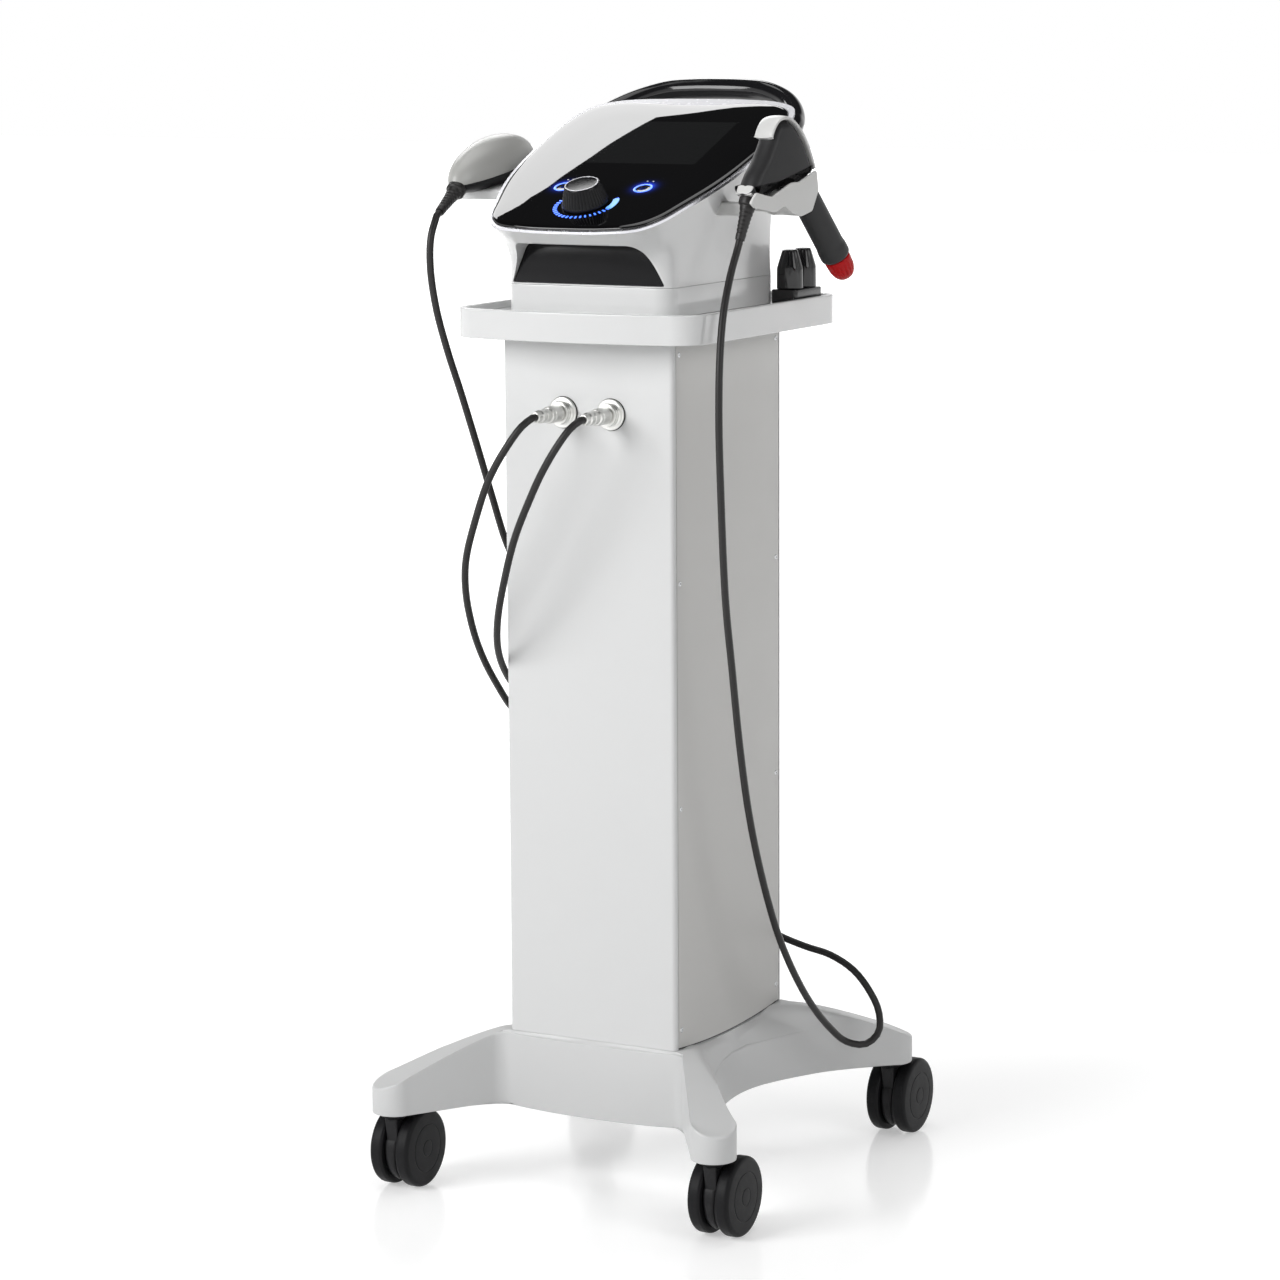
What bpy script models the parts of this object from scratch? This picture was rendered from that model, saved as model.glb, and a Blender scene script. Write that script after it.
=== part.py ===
"""Wheeled pressure-wave therapy unit: base, cabinet, tray, console and two corded handpieces.

Sizes are metres, +Z is up, the front faces -Y and the floor is z = 0. Pieces are placed around the
cabinet's vertical axis, and the last step moves them so that the origin is under the middle of the
wheelbase.
"""
import bmesh
import bpy
import numpy as np
from math import atan2, cos, pi, radians, sin, sqrt, tau
from mathutils import Matrix, Vector

# Clearances
GAP = 0.0003
RUN = 0.00008
SLIDE = 0.0002

# Casters
WHEEL_R = 0.050
WHEEL_W = 0.0195
WHEEL_SIDES = 18
HOUSING_W = 0.017
HOUSING_R = 0.042
WHEEL_GAP = 0.001
AXLE_R = 0.004
STEM_R = 0.0055
STEM_LENGTH = 0.028
COLLAR_R = 0.009
COLLAR_H = 0.0035
TREAD_W = 0.0115
TREAD_INSET = 0.003
CASTER_TRAIL = 0.030

# Base casting
BASE_TOP = 0.194
BASE_WALL = 0.006
BASE_ROOF = 0.036
BASE_FILLET = 0.004
APRON_BOTTOM = 0.097
APRON_TOP_DROP = 0.003
APRON_SIDE = 0.0104
APRON_LIP = 0.005
LEG_REACH_X = 0.1064
LEG_REACH_Y = 0.1059
LEG_BOTTOM = 0.1008
LEG_END_R = 0.028
LEG_END_DROP = 0.060
LEG_END_ANGLES = (radians(-157), radians(35))
HIP_START = 0.002
HIP_REACH = 0.016
HIP_SIDE = (0.12, 0.50)
HOLLOW_BACK = 0.080
HOLLOW_DRIFT = 0.008
HOLLOW_END_R = 0.012
SIDE_STEPS = 6
SIDE_LIP = 0.0144
SIDE_BOTTOM = 0.106
SIDE_SHOULDER = 0.159

# Cabinet
CABINET_W = 0.2352
CABINET_D = 0.2902
CABINET_H = 0.8712
SHEET = 0.002
PANEL_SHEET = 0.0015
CABINET_CORNER_R = 0.006
CABINET_RETURN = 0.007
CABINET_FLANGE = 0.024
PANEL_BOW = 0.0075
SHELF_T = 0.0025
SHELF_RISE = 0.4057
SHELF_MARGIN = 0.012
TANK_MARGIN = 0.030
COMPRESSOR = (0.150, 0.105, 0.110)
MOTOR_R = 0.040
MOTOR_L = 0.120
TANK_R = 0.050
TANK_H = 0.240
SUPPLY = (0.150, 0.200, 0.070)
VENT_SLOTS = 8
VENT_SIZE = (0.110, 0.005)
VENT_PITCH = 0.013
VENT_DROP = 0.2055
INLET = (0.028, 0.024, 0.020)
INLET_FLANGE = 0.003
INLET_FLANGE_W = 0.006
INLET_FLANGE_H = 0.004
INLET_WALL = 0.003
INLET_RISE = 0.0607

# Tray
TRAY_X = 0.168
TRAY_FRONT = -0.191
TRAY_REAR = 0.221
TRAY_BOW = 0.013
TRAY_CORNER_R = 0.040
TRAY_H = 0.036
TRAY_RIM_W = 0.008
TRAY_DEPTH = 0.008
TRAY_EDGE_R = 0.003

# Console
PLINTH_X = 0.115
PLINTH_FRONT = -0.146
PLINTH_REAR = 0.140
PLINTH_CORNER_R = 0.024
PLINTH_H = 0.0357
PLINTH_WALL = 0.004
RIM_FRONT_Y = -0.207
RIM_FRONT_H = 0.0649
RIM_CENTRE = (0.0, -0.015)
RIM_TILT = radians(22.0)
RIM_HALF_OUTLINE = [(0.0, -0.207), (0.055, -0.205), (0.098, -0.196), (0.117, -0.176), (0.131, -0.140),
                    (0.1485, -0.085), (0.157, -0.035), (0.160, 0.030), (0.156, 0.095), (0.142, 0.134),
                    (0.110, 0.151), (0.055, 0.157), (0.0, 0.158)]
HULL_POINTS = 40
HULL_FLARE = 1.6
HULL_WAIST = 0.004
CAVITY_X = 0.100
CAVITY_FRONT = -0.124
CAVITY_REAR = 0.120
CAVITY_FLOOR = 0.005
NOTCH_BOTTOM_X = 0.105
NOTCH_TOP_X = 0.084
NOTCH_H = 0.050
NOTCH_SILL = 0.0015
NOTCH_CORNER_R = 0.012
NOTCH_BACK_Y = -0.1365
NOTCH_PLATE_T = 0.003
TRIM_T = 0.0035
TRIM_W = 0.005
TRIM_REAR_W = 0.022
FASCIA_EDGE = 0.0055
FASCIA_T = 0.0075
SCREEN = (0.188, 0.128, 0.008)
SCREEN_Y = 0.022
BOARD = (0.150, 0.046, 0.0016)
BOARD_DEPTH = 0.0125
BOARD_POST_R = 0.003
BUTTON_R = 0.0125
BUTTON_FLANGE_R = 0.0145
BUTTON_FLANGE_T = 0.0015
BUTTON_PROUD = 0.0006
BUTTON_TRAVEL = 0.001
BUTTON_STEM_R = 0.004
BUTTON_X = 0.055
BUTTON_Y = -0.099
DIAL_BASE_R = 0.029
DIAL_TOP_R = 0.0215
DIAL_H = 0.026
DIAL_RIDGES = 20
DIAL_RIDGE = 0.0005
DIAL_LIFT = 0.0006
DIAL_Y = -0.142
DIAL_SHAFT_R = 0.003
DIAL_SHAFT_L = 0.010
ENCODER_R = 0.009
ENCODER_H = 0.012
HANDLE_R = 0.0135
HANDLE_ROUTE = [(-0.117, 0.142, 0.1879), (-0.117, 0.154, 0.1919), (-0.112, 0.170, 0.2039),
                (-0.098, 0.185, 0.2149), (-0.068, 0.196, 0.2239), (-0.035, 0.201, 0.2264), (0.0, 0.203, 0.2269)]

# Sockets and plugs
SOCKET_X = 0.033
SOCKET_DROP = 0.0895
SOCKET_FLANGE_R = 0.019
SOCKET_FLANGE_T = 0.004
SOCKET_NOSE_R = 0.0135
SOCKET_NOSE_L = 0.010
SOCKET_BORE_R = 0.0085
PLUG_R = 0.0105
PLUG_GRIP_L = 0.026
PLUG_NUT_R = 0.0082
PLUG_NUT_L = 0.020
PLUG_BOOT_R = 0.0066
PLUG_BOOT_L = 0.009
CORD_R = 0.0045

# Spare applicator heads
RACK = (0.036, 0.074, 0.018)
RACK_X = 0.136
RACK_Y = 0.151
SPARE_R = 0.0168
SPARE_H = 0.049
SPARE_PITCH = 0.037
SPARE_PEG_R = 0.007
SPARE_PEG_H = 0.006

# Left handpiece, a rounded vibration head lying on its shelf. Heights here and for the right
# handpiece are above the console housing's foot.
ROUND_CENTRE = (-0.205, -0.021, 0.1319)
ROUND_PITCH = radians(11.0)
ROUND_LENGTH = 0.184
ROUND_WIDTH = 0.068
ROUND_CROWN = 0.040
ROUND_BELLY = 0.022
ROUND_FLAT = 0.014
SHELF_REACH = 0.028
SHELF_SPAN = (-0.050, 0.034)
SHELF_THICK = 0.013
SHELF_CORNER = 0.012
ROUND_TAPER = 0.10
ROUND_RELIEF_DIR = (0.0, -0.85, -0.53)
ROUND_RELIEF_AT = (0.0, -0.0805, -0.020)

# Right handpiece, a pistol head dropped through a clip. Its side outline is written as distances
# along the plane that it stands in and heights.
PISTOL_ORIGIN = (0.210, 0.0)
PISTOL_TURN = atan2(0.956, 0.292)
PISTOL_HALF_T = 0.016
PISTOL_EDGE_R = 0.008
PISTOL_BACK = [(-0.0940, 0.1099), (-0.0826, 0.1330), (-0.0668, 0.1545), (-0.0570, 0.1720),
               (-0.0510, 0.1860), (-0.0420, 0.1955), (-0.0270, 0.1972), (-0.0110, 0.1870),
               (0.0025, 0.1690), (0.0120, 0.1500), (0.0180, 0.1340)]
PISTOL_UNDER = [(-0.0152, 0.1080), (-0.0270, 0.1169), (-0.0460, 0.1129), (-0.0680, 0.1009)]
BARREL_ROOT = (0.002, 0.1209)
BARREL_DIR = (0.6, -0.8)
BARREL_R = 0.0175
BARREL_L = 0.116
BARREL_END_R = 0.0185
TIP_R = 0.0165
TIP_L = 0.030
SPINE_T = 0.0045
SPINE_HALF_W = 0.0145
SPINE_START = -0.056
PISTOL_RELIEF_DIR = (-0.33, -0.944)
RELIEF_FLANGE_R = 0.012
RELIEF_R = 0.0095
RELIEF_END_R = 0.0058
RELIEF_L = 0.052
CLIP_OUTLINE = [(-0.1030, 0.1010), (-0.0928, 0.1131), (-0.0657, 0.1070), (-0.0316, 0.1227),
                (-0.0184, 0.1229), (0.0115, 0.1362), (0.0150, 0.1120), (0.0038, 0.0874), (-0.0162, 0.0814),
                (-0.0339, 0.0874), (-0.0449, 0.0954), (-0.0601, 0.0885), (-0.0949, 0.0945)]
CLIP_EASE = 0.0045
CLIP_WALL = 0.0042
CLIP_CLEAR = 0.0008
CLIP_SEAT = [(-0.0165, 0.1064), (-0.0275, 0.1152), (-0.0455, 0.1114), (-0.0640, 0.1014)]
ARM_Y = (-0.060, -0.036)
ARM_RISE = (0.0829, 0.0989)

# Cord routes, plug to handpiece, in millimetres from the cabinet's axis and the floor
LEFT_CORD_MM = [(-33, -215.1, 976), (-33, -221, 976), (-40, -232, 968), (-56, -241, 944), (-80, -245, 903),
                (-103, -240, 851), (-126, -225, 799), (-140, -203, 756), (-150, -172, 708), (-157, -138, 667),
                (-162, -95, 624), (-166, -45, 582), (-169, 5, 562), (-172, 46, 575), (-175, 61, 620),
                (-178, 48, 680), (-181, 12, 738), (-183, -30, 792), (-187, -58, 855), (-191, -84, 917),
                (-197, -112, 987), (-202, -138, 1047), (-206, -156, 1100), (-207, -166, 1150), (-206, -165, 1185),
                (-205, -152.75, 1210.05), (-205, -145.97, 1214.28)]
RIGHT_CORD_MM = [(33, -215.1, 976), (33, -221, 976), (26, -232, 968), (12, -241, 946), (-7, -245, 914),
                 (-27, -243, 877), (-50, -237, 832), (-73, -224, 777), (-97, -200, 724), (-116, -168, 682),
                 (-130, -125, 644), (-136, -70, 602), (-138, -10, 560), (-138, 50, 520), (-137, 105, 483),
                 (-128, 150, 448), (-98, 171, 412), (-50, 174, 372), (0, 173, 334), (50, 171, 300),
                 (95, 169, 275), (139, 169, 262), (175, 171, 254), (209, 169, 238), (232, 168, 214),
                 (246, 167, 188), (249, 160, 163), (237, 147, 149), (219, 129, 154), (207, 101, 179),
                 (201, 48, 230), (198, -16, 311), (197, -60, 390), (196, -98, 483), (195, -122, 574),
                 (194, -141, 675), (193, -156, 762), (192, -165, 883), (190, -166, 979), (187, -157, 1055),
                 (183, -139, 1106), (180, -114, 1149), (180.52, -96.5, 1178.57), (181.3, -93.97, 1186.12)]
LEFT_CORD_POINTS = 27
RIGHT_CORD_POINTS = 46

# Worked out from the sizes above
AXLE_Z = WHEEL_R * cos(pi / WHEEL_SIDES)
CABINET_A = CABINET_W / 2
CABINET_B = CABINET_D / 2
CABINET_Z0 = BASE_TOP + GAP
CABINET_Z1 = CABINET_Z0 + CABINET_H
CASTER_X = CABINET_A + LEG_REACH_X
CASTER_Y = CABINET_B + LEG_REACH_Y
BASE_WAIST = CABINET_A + SIDE_LIP
APRON_X = CABINET_A + APRON_SIDE
SHELF_Z = CABINET_Z0 + SHELF_RISE
VENT_Z = CABINET_Z1 - VENT_DROP
INLET_Z = CABINET_Z0 + INLET_RISE
SOCKET_Z = CABINET_Z1 - SOCKET_DROP
TRAY_Z0 = CABINET_Z1 + GAP
TRAY_Z1 = TRAY_Z0 + TRAY_H
TRAY_FLOOR = TRAY_Z1 - TRAY_DEPTH
PLINTH_Z0 = TRAY_FLOOR + GAP
PLINTH_Z1 = PLINTH_Z0 + PLINTH_H
HULL_Z0 = PLINTH_Z1 + GAP
RIM_FRONT_Z = HULL_Z0 + RIM_FRONT_H
SLOT_HALF = BARREL_END_R + CLIP_CLEAR
BASE_HALF_D = CABINET_B + APRON_LIP
FRONT_END = -CASTER_Y - LEG_END_R
REAR_END = CASTER_Y + CASTER_TRAIL + WHEEL_R
FRAME_SHIFT = Vector((0.0, -(FRONT_END + REAR_END) / 2, 0.0))

PARTS = "pressure_wave_therapy_unit"
CUTTERS = "cutters"


def empty_scene():
    """Remove what the file opens with and make the two collections."""
    for obj in list(bpy.data.objects):
        bpy.data.objects.remove(obj)
    for name in (PARTS, CUTTERS):
        collection = bpy.data.collections.new(name)
        bpy.context.scene.collection.children.link(collection)


def material(name, colour, roughness=0.4, metallic=0.0):
    """One Principled material for each node."""
    made = bpy.data.materials.new(name)
    made.use_nodes = True
    shader = made.node_tree.nodes["Principled BSDF"]
    shader.inputs["Base Color"].default_value = (*colour, 1.0)
    shader.inputs["Roughness"].default_value = roughness
    shader.inputs["Metallic"].default_value = metallic
    return made


WHITE = (0.80, 0.81, 0.80)
GREY = (0.55, 0.56, 0.56)
DARK = (0.045, 0.046, 0.050)
BLACK = (0.010, 0.010, 0.011)
STEEL = (0.62, 0.63, 0.64)
RED = (0.75, 0.02, 0.02)
GREEN = (0.04, 0.20, 0.09)


def place(name, mesh, colour, metallic=0.0, roughness=0.4):
    """Put a mesh into the part's collection as a named node."""
    obj = bpy.data.objects.new(name, mesh)
    bpy.data.collections[PARTS].objects.link(obj)
    if colour is not None:
        mesh.materials.append(material(name, colour, roughness, metallic))
    return obj


def as_cutter(obj):
    """Move a solid to the cutters, where it isn't rendered."""
    bpy.data.collections[PARTS].objects.unlink(obj)
    bpy.data.collections[CUTTERS].objects.link(obj)
    obj.hide_render = True
    obj.display_type = "WIRE"
    return obj


def boolean(obj, tool, operation):
    """Cut, join or intersect a node with a cutter."""
    modifier = obj.modifiers.new(f"{operation} {tool.name}", "BOOLEAN")
    modifier.operation = operation
    modifier.solver = "EXACT"
    modifier.object = as_cutter(tool) if tool.name in bpy.data.collections[PARTS].objects else tool
    return obj


def soften(obj, width, segments=2, angle=40):
    """Round the edges that are sharper than an angle."""
    modifier = obj.modifiers.new("Rounded edges", "BEVEL")
    modifier.width = width
    modifier.segments = segments
    modifier.limit_method = "ANGLE"
    modifier.angle_limit = radians(angle)
    modifier.use_clamp_overlap = True
    return obj


def shade(mesh, angle=35):
    """Shade faces smooth where they meet a neighbour at a small angle, the rest flat, and keep real edges sharp."""
    shaped = bmesh.new()
    shaped.from_mesh(mesh)
    for face in shaped.faces:
        turns = [edge.calc_face_angle(0.0) for edge in face.edges]
        face.smooth = any(radians(1) < turn < radians(angle) for turn in turns)
    shaped.to_mesh(mesh)
    shaped.free()
    mesh.set_sharp_from_angle(angle=radians(angle))


def loft(name, rings, colour=None, closed=False, frame=None, **look):
    """Skin rings of equal point count, capped at both ends or joined last to first."""
    count = len(rings[0])
    vertices = [tuple(p) for ring in rings for p in ring]
    pairs = len(rings) if closed else len(rings) - 1
    faces = []
    for k in range(pairs):
        low = k * count
        high = (k + 1) % len(rings) * count
        for i in range(count):
            j = (i + 1) % count
            faces.append((low + i, low + j, high + j, high + i))
    if not closed:
        faces.append(tuple(reversed(range(count))))
        faces.append(tuple(range((len(rings) - 1) * count, len(rings) * count)))
    mesh = bpy.data.meshes.new(name)
    mesh.from_pydata(vertices, [], faces)
    shaped = bmesh.new()
    shaped.from_mesh(mesh)
    bmesh.ops.recalc_face_normals(shaped, faces=shaped.faces)
    shaped.to_mesh(mesh)
    shaped.free()
    shade(mesh)
    obj = place(name, mesh, colour, **look)
    if frame is not None:
        obj.matrix_world = frame
    return obj


def prism(name, outline, low, high, colour=None, frame=None, **look):
    """A filled flat outline, extruded from one height to another along a frame's third axis."""
    curve = bpy.data.curves.new(name, "CURVE")
    curve.dimensions = "2D"
    curve.fill_mode = "BOTH"
    curve.extrude = (high - low) / 2
    spline = curve.splines.new("POLY")
    spline.points.add(len(outline) - 1)
    for target, (x, y) in zip(spline.points, outline):
        target.co = (x, y, 0.0, 1.0)
    spline.use_cyclic_u = True
    flat = bpy.data.objects.new(name, curve)
    mesh = bpy.data.meshes.new_from_object(flat)
    bpy.data.objects.remove(flat)
    bpy.data.curves.remove(curve)
    shaped = bmesh.new()
    shaped.from_mesh(mesh)
    bmesh.ops.remove_doubles(shaped, verts=shaped.verts, dist=1e-6)
    bmesh.ops.recalc_face_normals(shaped, faces=shaped.faces)
    bmesh.ops.translate(shaped, verts=shaped.verts, vec=(0.0, 0.0, (low + high) / 2))
    shaped.to_mesh(mesh)
    shaped.free()
    mesh.name = name
    mesh.materials.clear()
    shade(mesh)
    obj = place(name, mesh, colour, **look)
    if frame is not None:
        obj.matrix_world = frame
    return obj


def primitive(name, fill, colour, frame, **look):
    """A node from one of the mesh primitives."""
    shaped = bmesh.new()
    fill(shaped)
    mesh = bpy.data.meshes.new(name)
    shaped.to_mesh(mesh)
    shaped.free()
    shade(mesh)
    obj = place(name, mesh, colour, **look)
    if frame is not None:
        obj.matrix_world = frame
    return obj


def block(name, centre, size, colour=None, frame=None, **look):
    """A rectangular block, in the world or in a frame."""
    sized = Matrix.Translation(centre) @ Matrix.Diagonal((*size, 1.0))
    return primitive(name, lambda shaped: bmesh.ops.create_cube(shaped, size=1.0, matrix=sized), colour, frame, **look)


def rod(name, radius, low, high, sides, colour=None, frame=None, **look):
    """A plain round bar along a frame's third axis."""
    middle = Matrix.Translation((0.0, 0.0, (low + high) / 2))
    return primitive(name, lambda shaped: bmesh.ops.create_cone(
        shaped, cap_ends=True, segments=sides, radius1=radius, radius2=radius, depth=high - low, matrix=middle),
        colour, frame, **look)


def turned(name, profile, sides, colour=None, frame=None, ring=False, **look):
    """Revolve (radius, height) points about a frame's third axis, given from the top down."""
    points = [(radius, 0.0, height) for radius, height in profile]
    edges = [(i, i + 1) for i in range(len(points) - 1)]
    if ring:
        edges.append((len(points) - 1, 0))
    mesh = bpy.data.meshes.new(name)
    mesh.from_pydata(points, edges, [])
    obj = place(name, mesh, colour, **look)
    modifier = obj.modifiers.new("Revolve", "SCREW")
    modifier.steps = modifier.render_steps = sides
    modifier.use_merge_vertices = True
    modifier.merge_threshold = 1e-6
    modifier.use_smooth_shade = True
    if frame is not None:
        obj.matrix_world = frame
    return obj


def axis_frame(origin, direction, across=(1.0, 0.0, 0.0)):
    """A frame whose third axis points along a direction."""
    z = Vector(direction).normalized()
    x = Vector(across)
    x = (x - z * x.dot(z)).normalized()
    y = z.cross(x)
    frame = Matrix((x, y, z)).transposed().to_4x4()
    frame.translation = Vector(origin)
    return frame


def arc(centre, radius, start, end, steps):
    """Points on a round stretch, angles in radians."""
    angles = np.linspace(start, end, steps + 1)
    return [(centre[0] + radius * cos(a), centre[1] + radius * sin(a)) for a in angles]


def smooth_through(points, count, closed=False):
    """Even points on a centripetal curve through the given ones."""
    p = [Vector(v) for v in points]
    if closed:
        p = [p[-1]] + p + [p[0], p[1]]
    else:
        p = [p[0] * 2 - p[1]] + p + [p[-1] * 2 - p[-2]]
    dense = []
    for a, b, c, d in zip(p, p[1:], p[2:], p[3:]):
        t0 = 0.0
        t1 = t0 + sqrt((b - a).length)
        t2 = t1 + sqrt((c - b).length)
        t3 = t2 + sqrt((d - c).length)
        for t in np.linspace(t1, t2, 16, endpoint=False):
            ab = a.lerp(b, (t - t0) / (t1 - t0))
            bc = b.lerp(c, (t - t1) / (t2 - t1))
            cd = c.lerp(d, (t - t2) / (t3 - t2))
            low = ab.lerp(bc, (t - t0) / (t2 - t0))
            high = bc.lerp(cd, (t - t1) / (t3 - t1))
            dense.append(low.lerp(high, (t - t1) / (t2 - t1)))
    dense.append(p[-2])
    steps = [0.0] + list(np.cumsum([(b - a).length for a, b in zip(dense, dense[1:])]))
    wanted = np.linspace(0.0, steps[-1], count + 1 if closed else count)
    axes = [np.interp(wanted, steps, [v[i] for v in dense]) for i in range(len(p[0]))]
    even = [Vector(v) for v in zip(*axes)]
    return even[:-1] if closed else even


def eased_corners(points, reach):
    """A closed outline whose corners are cut back by a reach and rounded."""
    eased = []
    for k, here in enumerate(points):
        at = Vector(here)
        before, after = Vector(points[k - 1]) - at, Vector(points[(k + 1) % len(points)]) - at
        a = at + before * min(0.45, reach / before.length)
        b = at + after * min(0.45, reach / after.length)
        eased += [tuple(a), tuple((a + 2 * at + b) / 4), tuple(b)]
    return eased


def rounded_rectangle(x0, x1, y0, y1, radius, steps=4):
    """A plan rectangle with round corners, counter-clockwise."""
    outline = arc((x1 - radius, y1 - radius), radius, 0, pi / 2, steps)
    outline += arc((x0 + radius, y1 - radius), radius, pi / 2, pi, steps)
    outline += arc((x0 + radius, y0 + radius), radius, pi, 1.5 * pi, steps)
    outline += arc((x1 - radius, y0 + radius), radius, 1.5 * pi, tau, steps)
    return outline


def by_angle(outline, centre, count):
    """Sample a star-shaped outline at even angles about a centre."""
    corners = np.array(outline) - np.array(centre)
    ahead = np.roll(corners, -1, axis=0)
    fine = np.vstack([corners + (ahead - corners) * t for t in np.arange(24) / 24])
    angles = np.arctan2(fine[:, 1], fine[:, 0]) % tau
    order = np.argsort(angles)
    wanted = np.arange(count) * tau / count
    r = np.interp(wanted, angles[order], np.hypot(fine[:, 0], fine[:, 1])[order], period=tau)
    return [(centre[0] + q * cos(a), centre[1] + q * sin(a)) for q, a in zip(r, wanted)]


def make_casters():
    """Four twin-wheel casters, each with a swivelling housing, an axle and two wheels."""
    reach = HOUSING_W / 2 + WHEEL_GAP
    for front_rear, sy in (("front", -1), ("rear", 1)):
        for side, sx in (("left", -1), ("right", 1)):
            name = f"caster_{front_rear}_{side}"
            stem = Vector((sx * CASTER_X, sy * CASTER_Y, 0.0))
            axle = stem + Vector((0.0, CASTER_TRAIL, AXLE_Z))
            make_caster_housing(name, stem, axle)
            along = axis_frame(axle, (1, 0, 0), (0, 1, 0))
            half = reach + WHEEL_W * 0.68
            rod(f"{name}_axle", AXLE_R, -half, half, 12, STEEL, along, metallic=1.0)
            for which, way in (("inner", -sx), ("outer", sx)):
                face = axle + Vector((way * reach, 0.0, 0.0))
                make_wheel(f"{name}_wheel_{which}", axis_frame(face, (way, 0, 0), (0, 1, 0)))


def make_wheel(name, frame):
    """A wheel with a flat tread and a domed outer disc, bored for its axle from the inner side."""
    w = WHEEL_W
    r = WHEEL_R
    bore = AXLE_R + RUN
    inset = TREAD_INSET
    edge = w - inset - TREAD_W
    profile = [(0.0, w), (0.62 * r, w - 0.06 * edge), (0.93 * r, w - 0.2 * edge), (r - 0.24 * edge, w - 0.54 * edge),
               (r, inset + TREAD_W), (r, inset), (0.95 * r, 0.0), (bore, 0.0), (bore, 0.7 * w), (0.0, 0.7 * w)]
    turned(name, profile, WHEEL_SIDES, BLACK, frame)


def make_caster_housing(name, stem, axle):
    """The hood between the wheels, its neck and the steel stem it swivels on."""
    top = LEG_BOTTOM - GAP
    neck = HOUSING_W * 0.7
    trail = axle.y - stem.y
    hood = arc((trail, axle.z), HOUSING_R, radians(58), radians(-205), 13)
    outline = [(neck, top - COLLAR_H)] + hood + [(-neck, top - COLLAR_H)]
    across = Matrix(((0, 0, 1, stem.x), (1, 0, 0, stem.y), (0, 1, 0, 0), (0, 0, 0, 1)))
    housing = prism(f"{name}_housing", outline, -HOUSING_W / 2, HOUSING_W / 2, BLACK, across)
    top_of_stem = top + STEM_LENGTH
    root = HOUSING_W * 0.45
    low = top - 2 * COLLAR_H
    steps = [(0.0, top_of_stem), (STEM_R, top_of_stem), (STEM_R, top), (COLLAR_R, top),
             (COLLAR_R, top - COLLAR_H), (root, top - COLLAR_H), (root, low), (0.0, low)]
    pin = turned(f"{name}_stem", steps, 12, None, Matrix.Translation((stem.x, stem.y, 0.0)))
    boolean(housing, pin, "UNION")
    bore = rod(f"{name}_axle_hole", AXLE_R + SLIDE / 4, -HOUSING_W, HOUSING_W, 12, None,
               axis_frame(axle, (1, 0, 0), (0, 1, 0)))
    boolean(housing, bore, "DIFFERENCE")


def all_round(quarter):
    """A quarter list that starts at the front's middle and ends at the right side's, mirrored all round."""
    half = quarter + [(x, -y) for x, y in reversed(quarter[:-1])]
    return half + [(-x, y) for x, y in reversed(half[1:-1])]


def base_quarter(inset=0.0, hollow=False):
    """A quarter of the casting's plan: half the front apron, one leg and half the hollowed side.

    The hollow stops short of the leg's stem and keeps to the middle between the leg's walls.
    """
    stem, start = Vector((CASTER_X, -CASTER_Y)), LEG_END_ANGLES[0]
    corner = Vector((APRON_X, -BASE_HALF_D))
    way = (stem + LEG_END_R * Vector((cos(start), sin(start))) - corner).normalized()
    inwards = Vector((-way.y, way.x))
    corner += Vector((inset * (1 - inwards.y) / inwards.x, inset))
    if hollow:
        stem -= way * HOLLOW_BACK + inwards * HOLLOW_DRIFT
    tip = arc(stem, HOLLOW_END_R if hollow else LEG_END_R, *LEG_END_ANGLES, 8)
    front = [tuple(corner.lerp(Vector(tip[0]), t)) for t in (0.0, 0.25, 0.5, 0.75)]
    waist = BASE_WAIST - inset
    ax, ay = tip[-1]
    centre = (ax * ax + ay * ay - waist * waist) / (2 * (ax - waist))
    bow = centre - waist
    side = [(centre - sqrt(bow * bow - v * v), v) for v in np.linspace(ay, 0.0, SIDE_STEPS + 1)[1:]]
    return [(0.0, -BASE_HALF_D + inset)] + front + tip + side


def foot_quarter(inset):
    """The same quarter where the cabinet stands, point for point."""
    a, b, r = CABINET_A - inset, CABINET_B - inset, CABINET_CORNER_R
    front = [((a - r) * t, -b) for t in (0.0, 0.82, 0.87, 0.92, 0.96)]
    corner = arc((a - r, -b + r), r, -pi / 2, 0.0, 8)
    side = [(a, v) for v in np.linspace(-b + r, 0.0, SIDE_STEPS + 1)[1:]]
    return front + corner + side


def hip_quarter():
    """Where the crown bends between plan and foot, point for point.

    A leg's lines all bend on a short stretch behind the apron's corner, so that none leaves its leg.
    """
    plan, foot = base_quarter(), foot_quarter(0.0)
    apron, legs = 1, len(plan) - SIDE_STEPS - 1
    low, high = HIP_SIDE
    hips = []
    for k, ((px, py), (qx, qy)) in enumerate(zip(plan, foot)):
        share = low + (high - low) * (k - legs) / SIDE_STEPS if k > legs else high
        along = (k - apron) / (legs - apron)
        leg = (APRON_X, -BASE_HALF_D + HIP_START + HIP_REACH * along)
        hips.append(leg if apron <= k <= legs else (qx + (px - qx) * share, qy + (py - qy) * share))
    return hips


def leg_fall(r):
    """How far the crown has fallen at a distance from the axis."""
    near = sqrt(CABINET_A ** 2 + CABINET_B ** 2)
    far = sqrt(CASTER_X ** 2 + CASTER_Y ** 2) + LEG_END_R
    return LEG_END_DROP * max(0.0, (r - near) / (far - near)) ** 1.25


def panel_dip(y):
    """How far a side panel's bowed lower edge hangs below the cabinet's ends."""
    reach = CABINET_B - CABINET_RETURN
    return PANEL_BOW * max(0.0, 1 - (y / reach) ** 2)


def ease(t):
    """A smooth step from 0 to 1."""
    t = min(1.0, max(0.0, t))
    return t * t * (3 - 2 * t)


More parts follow.
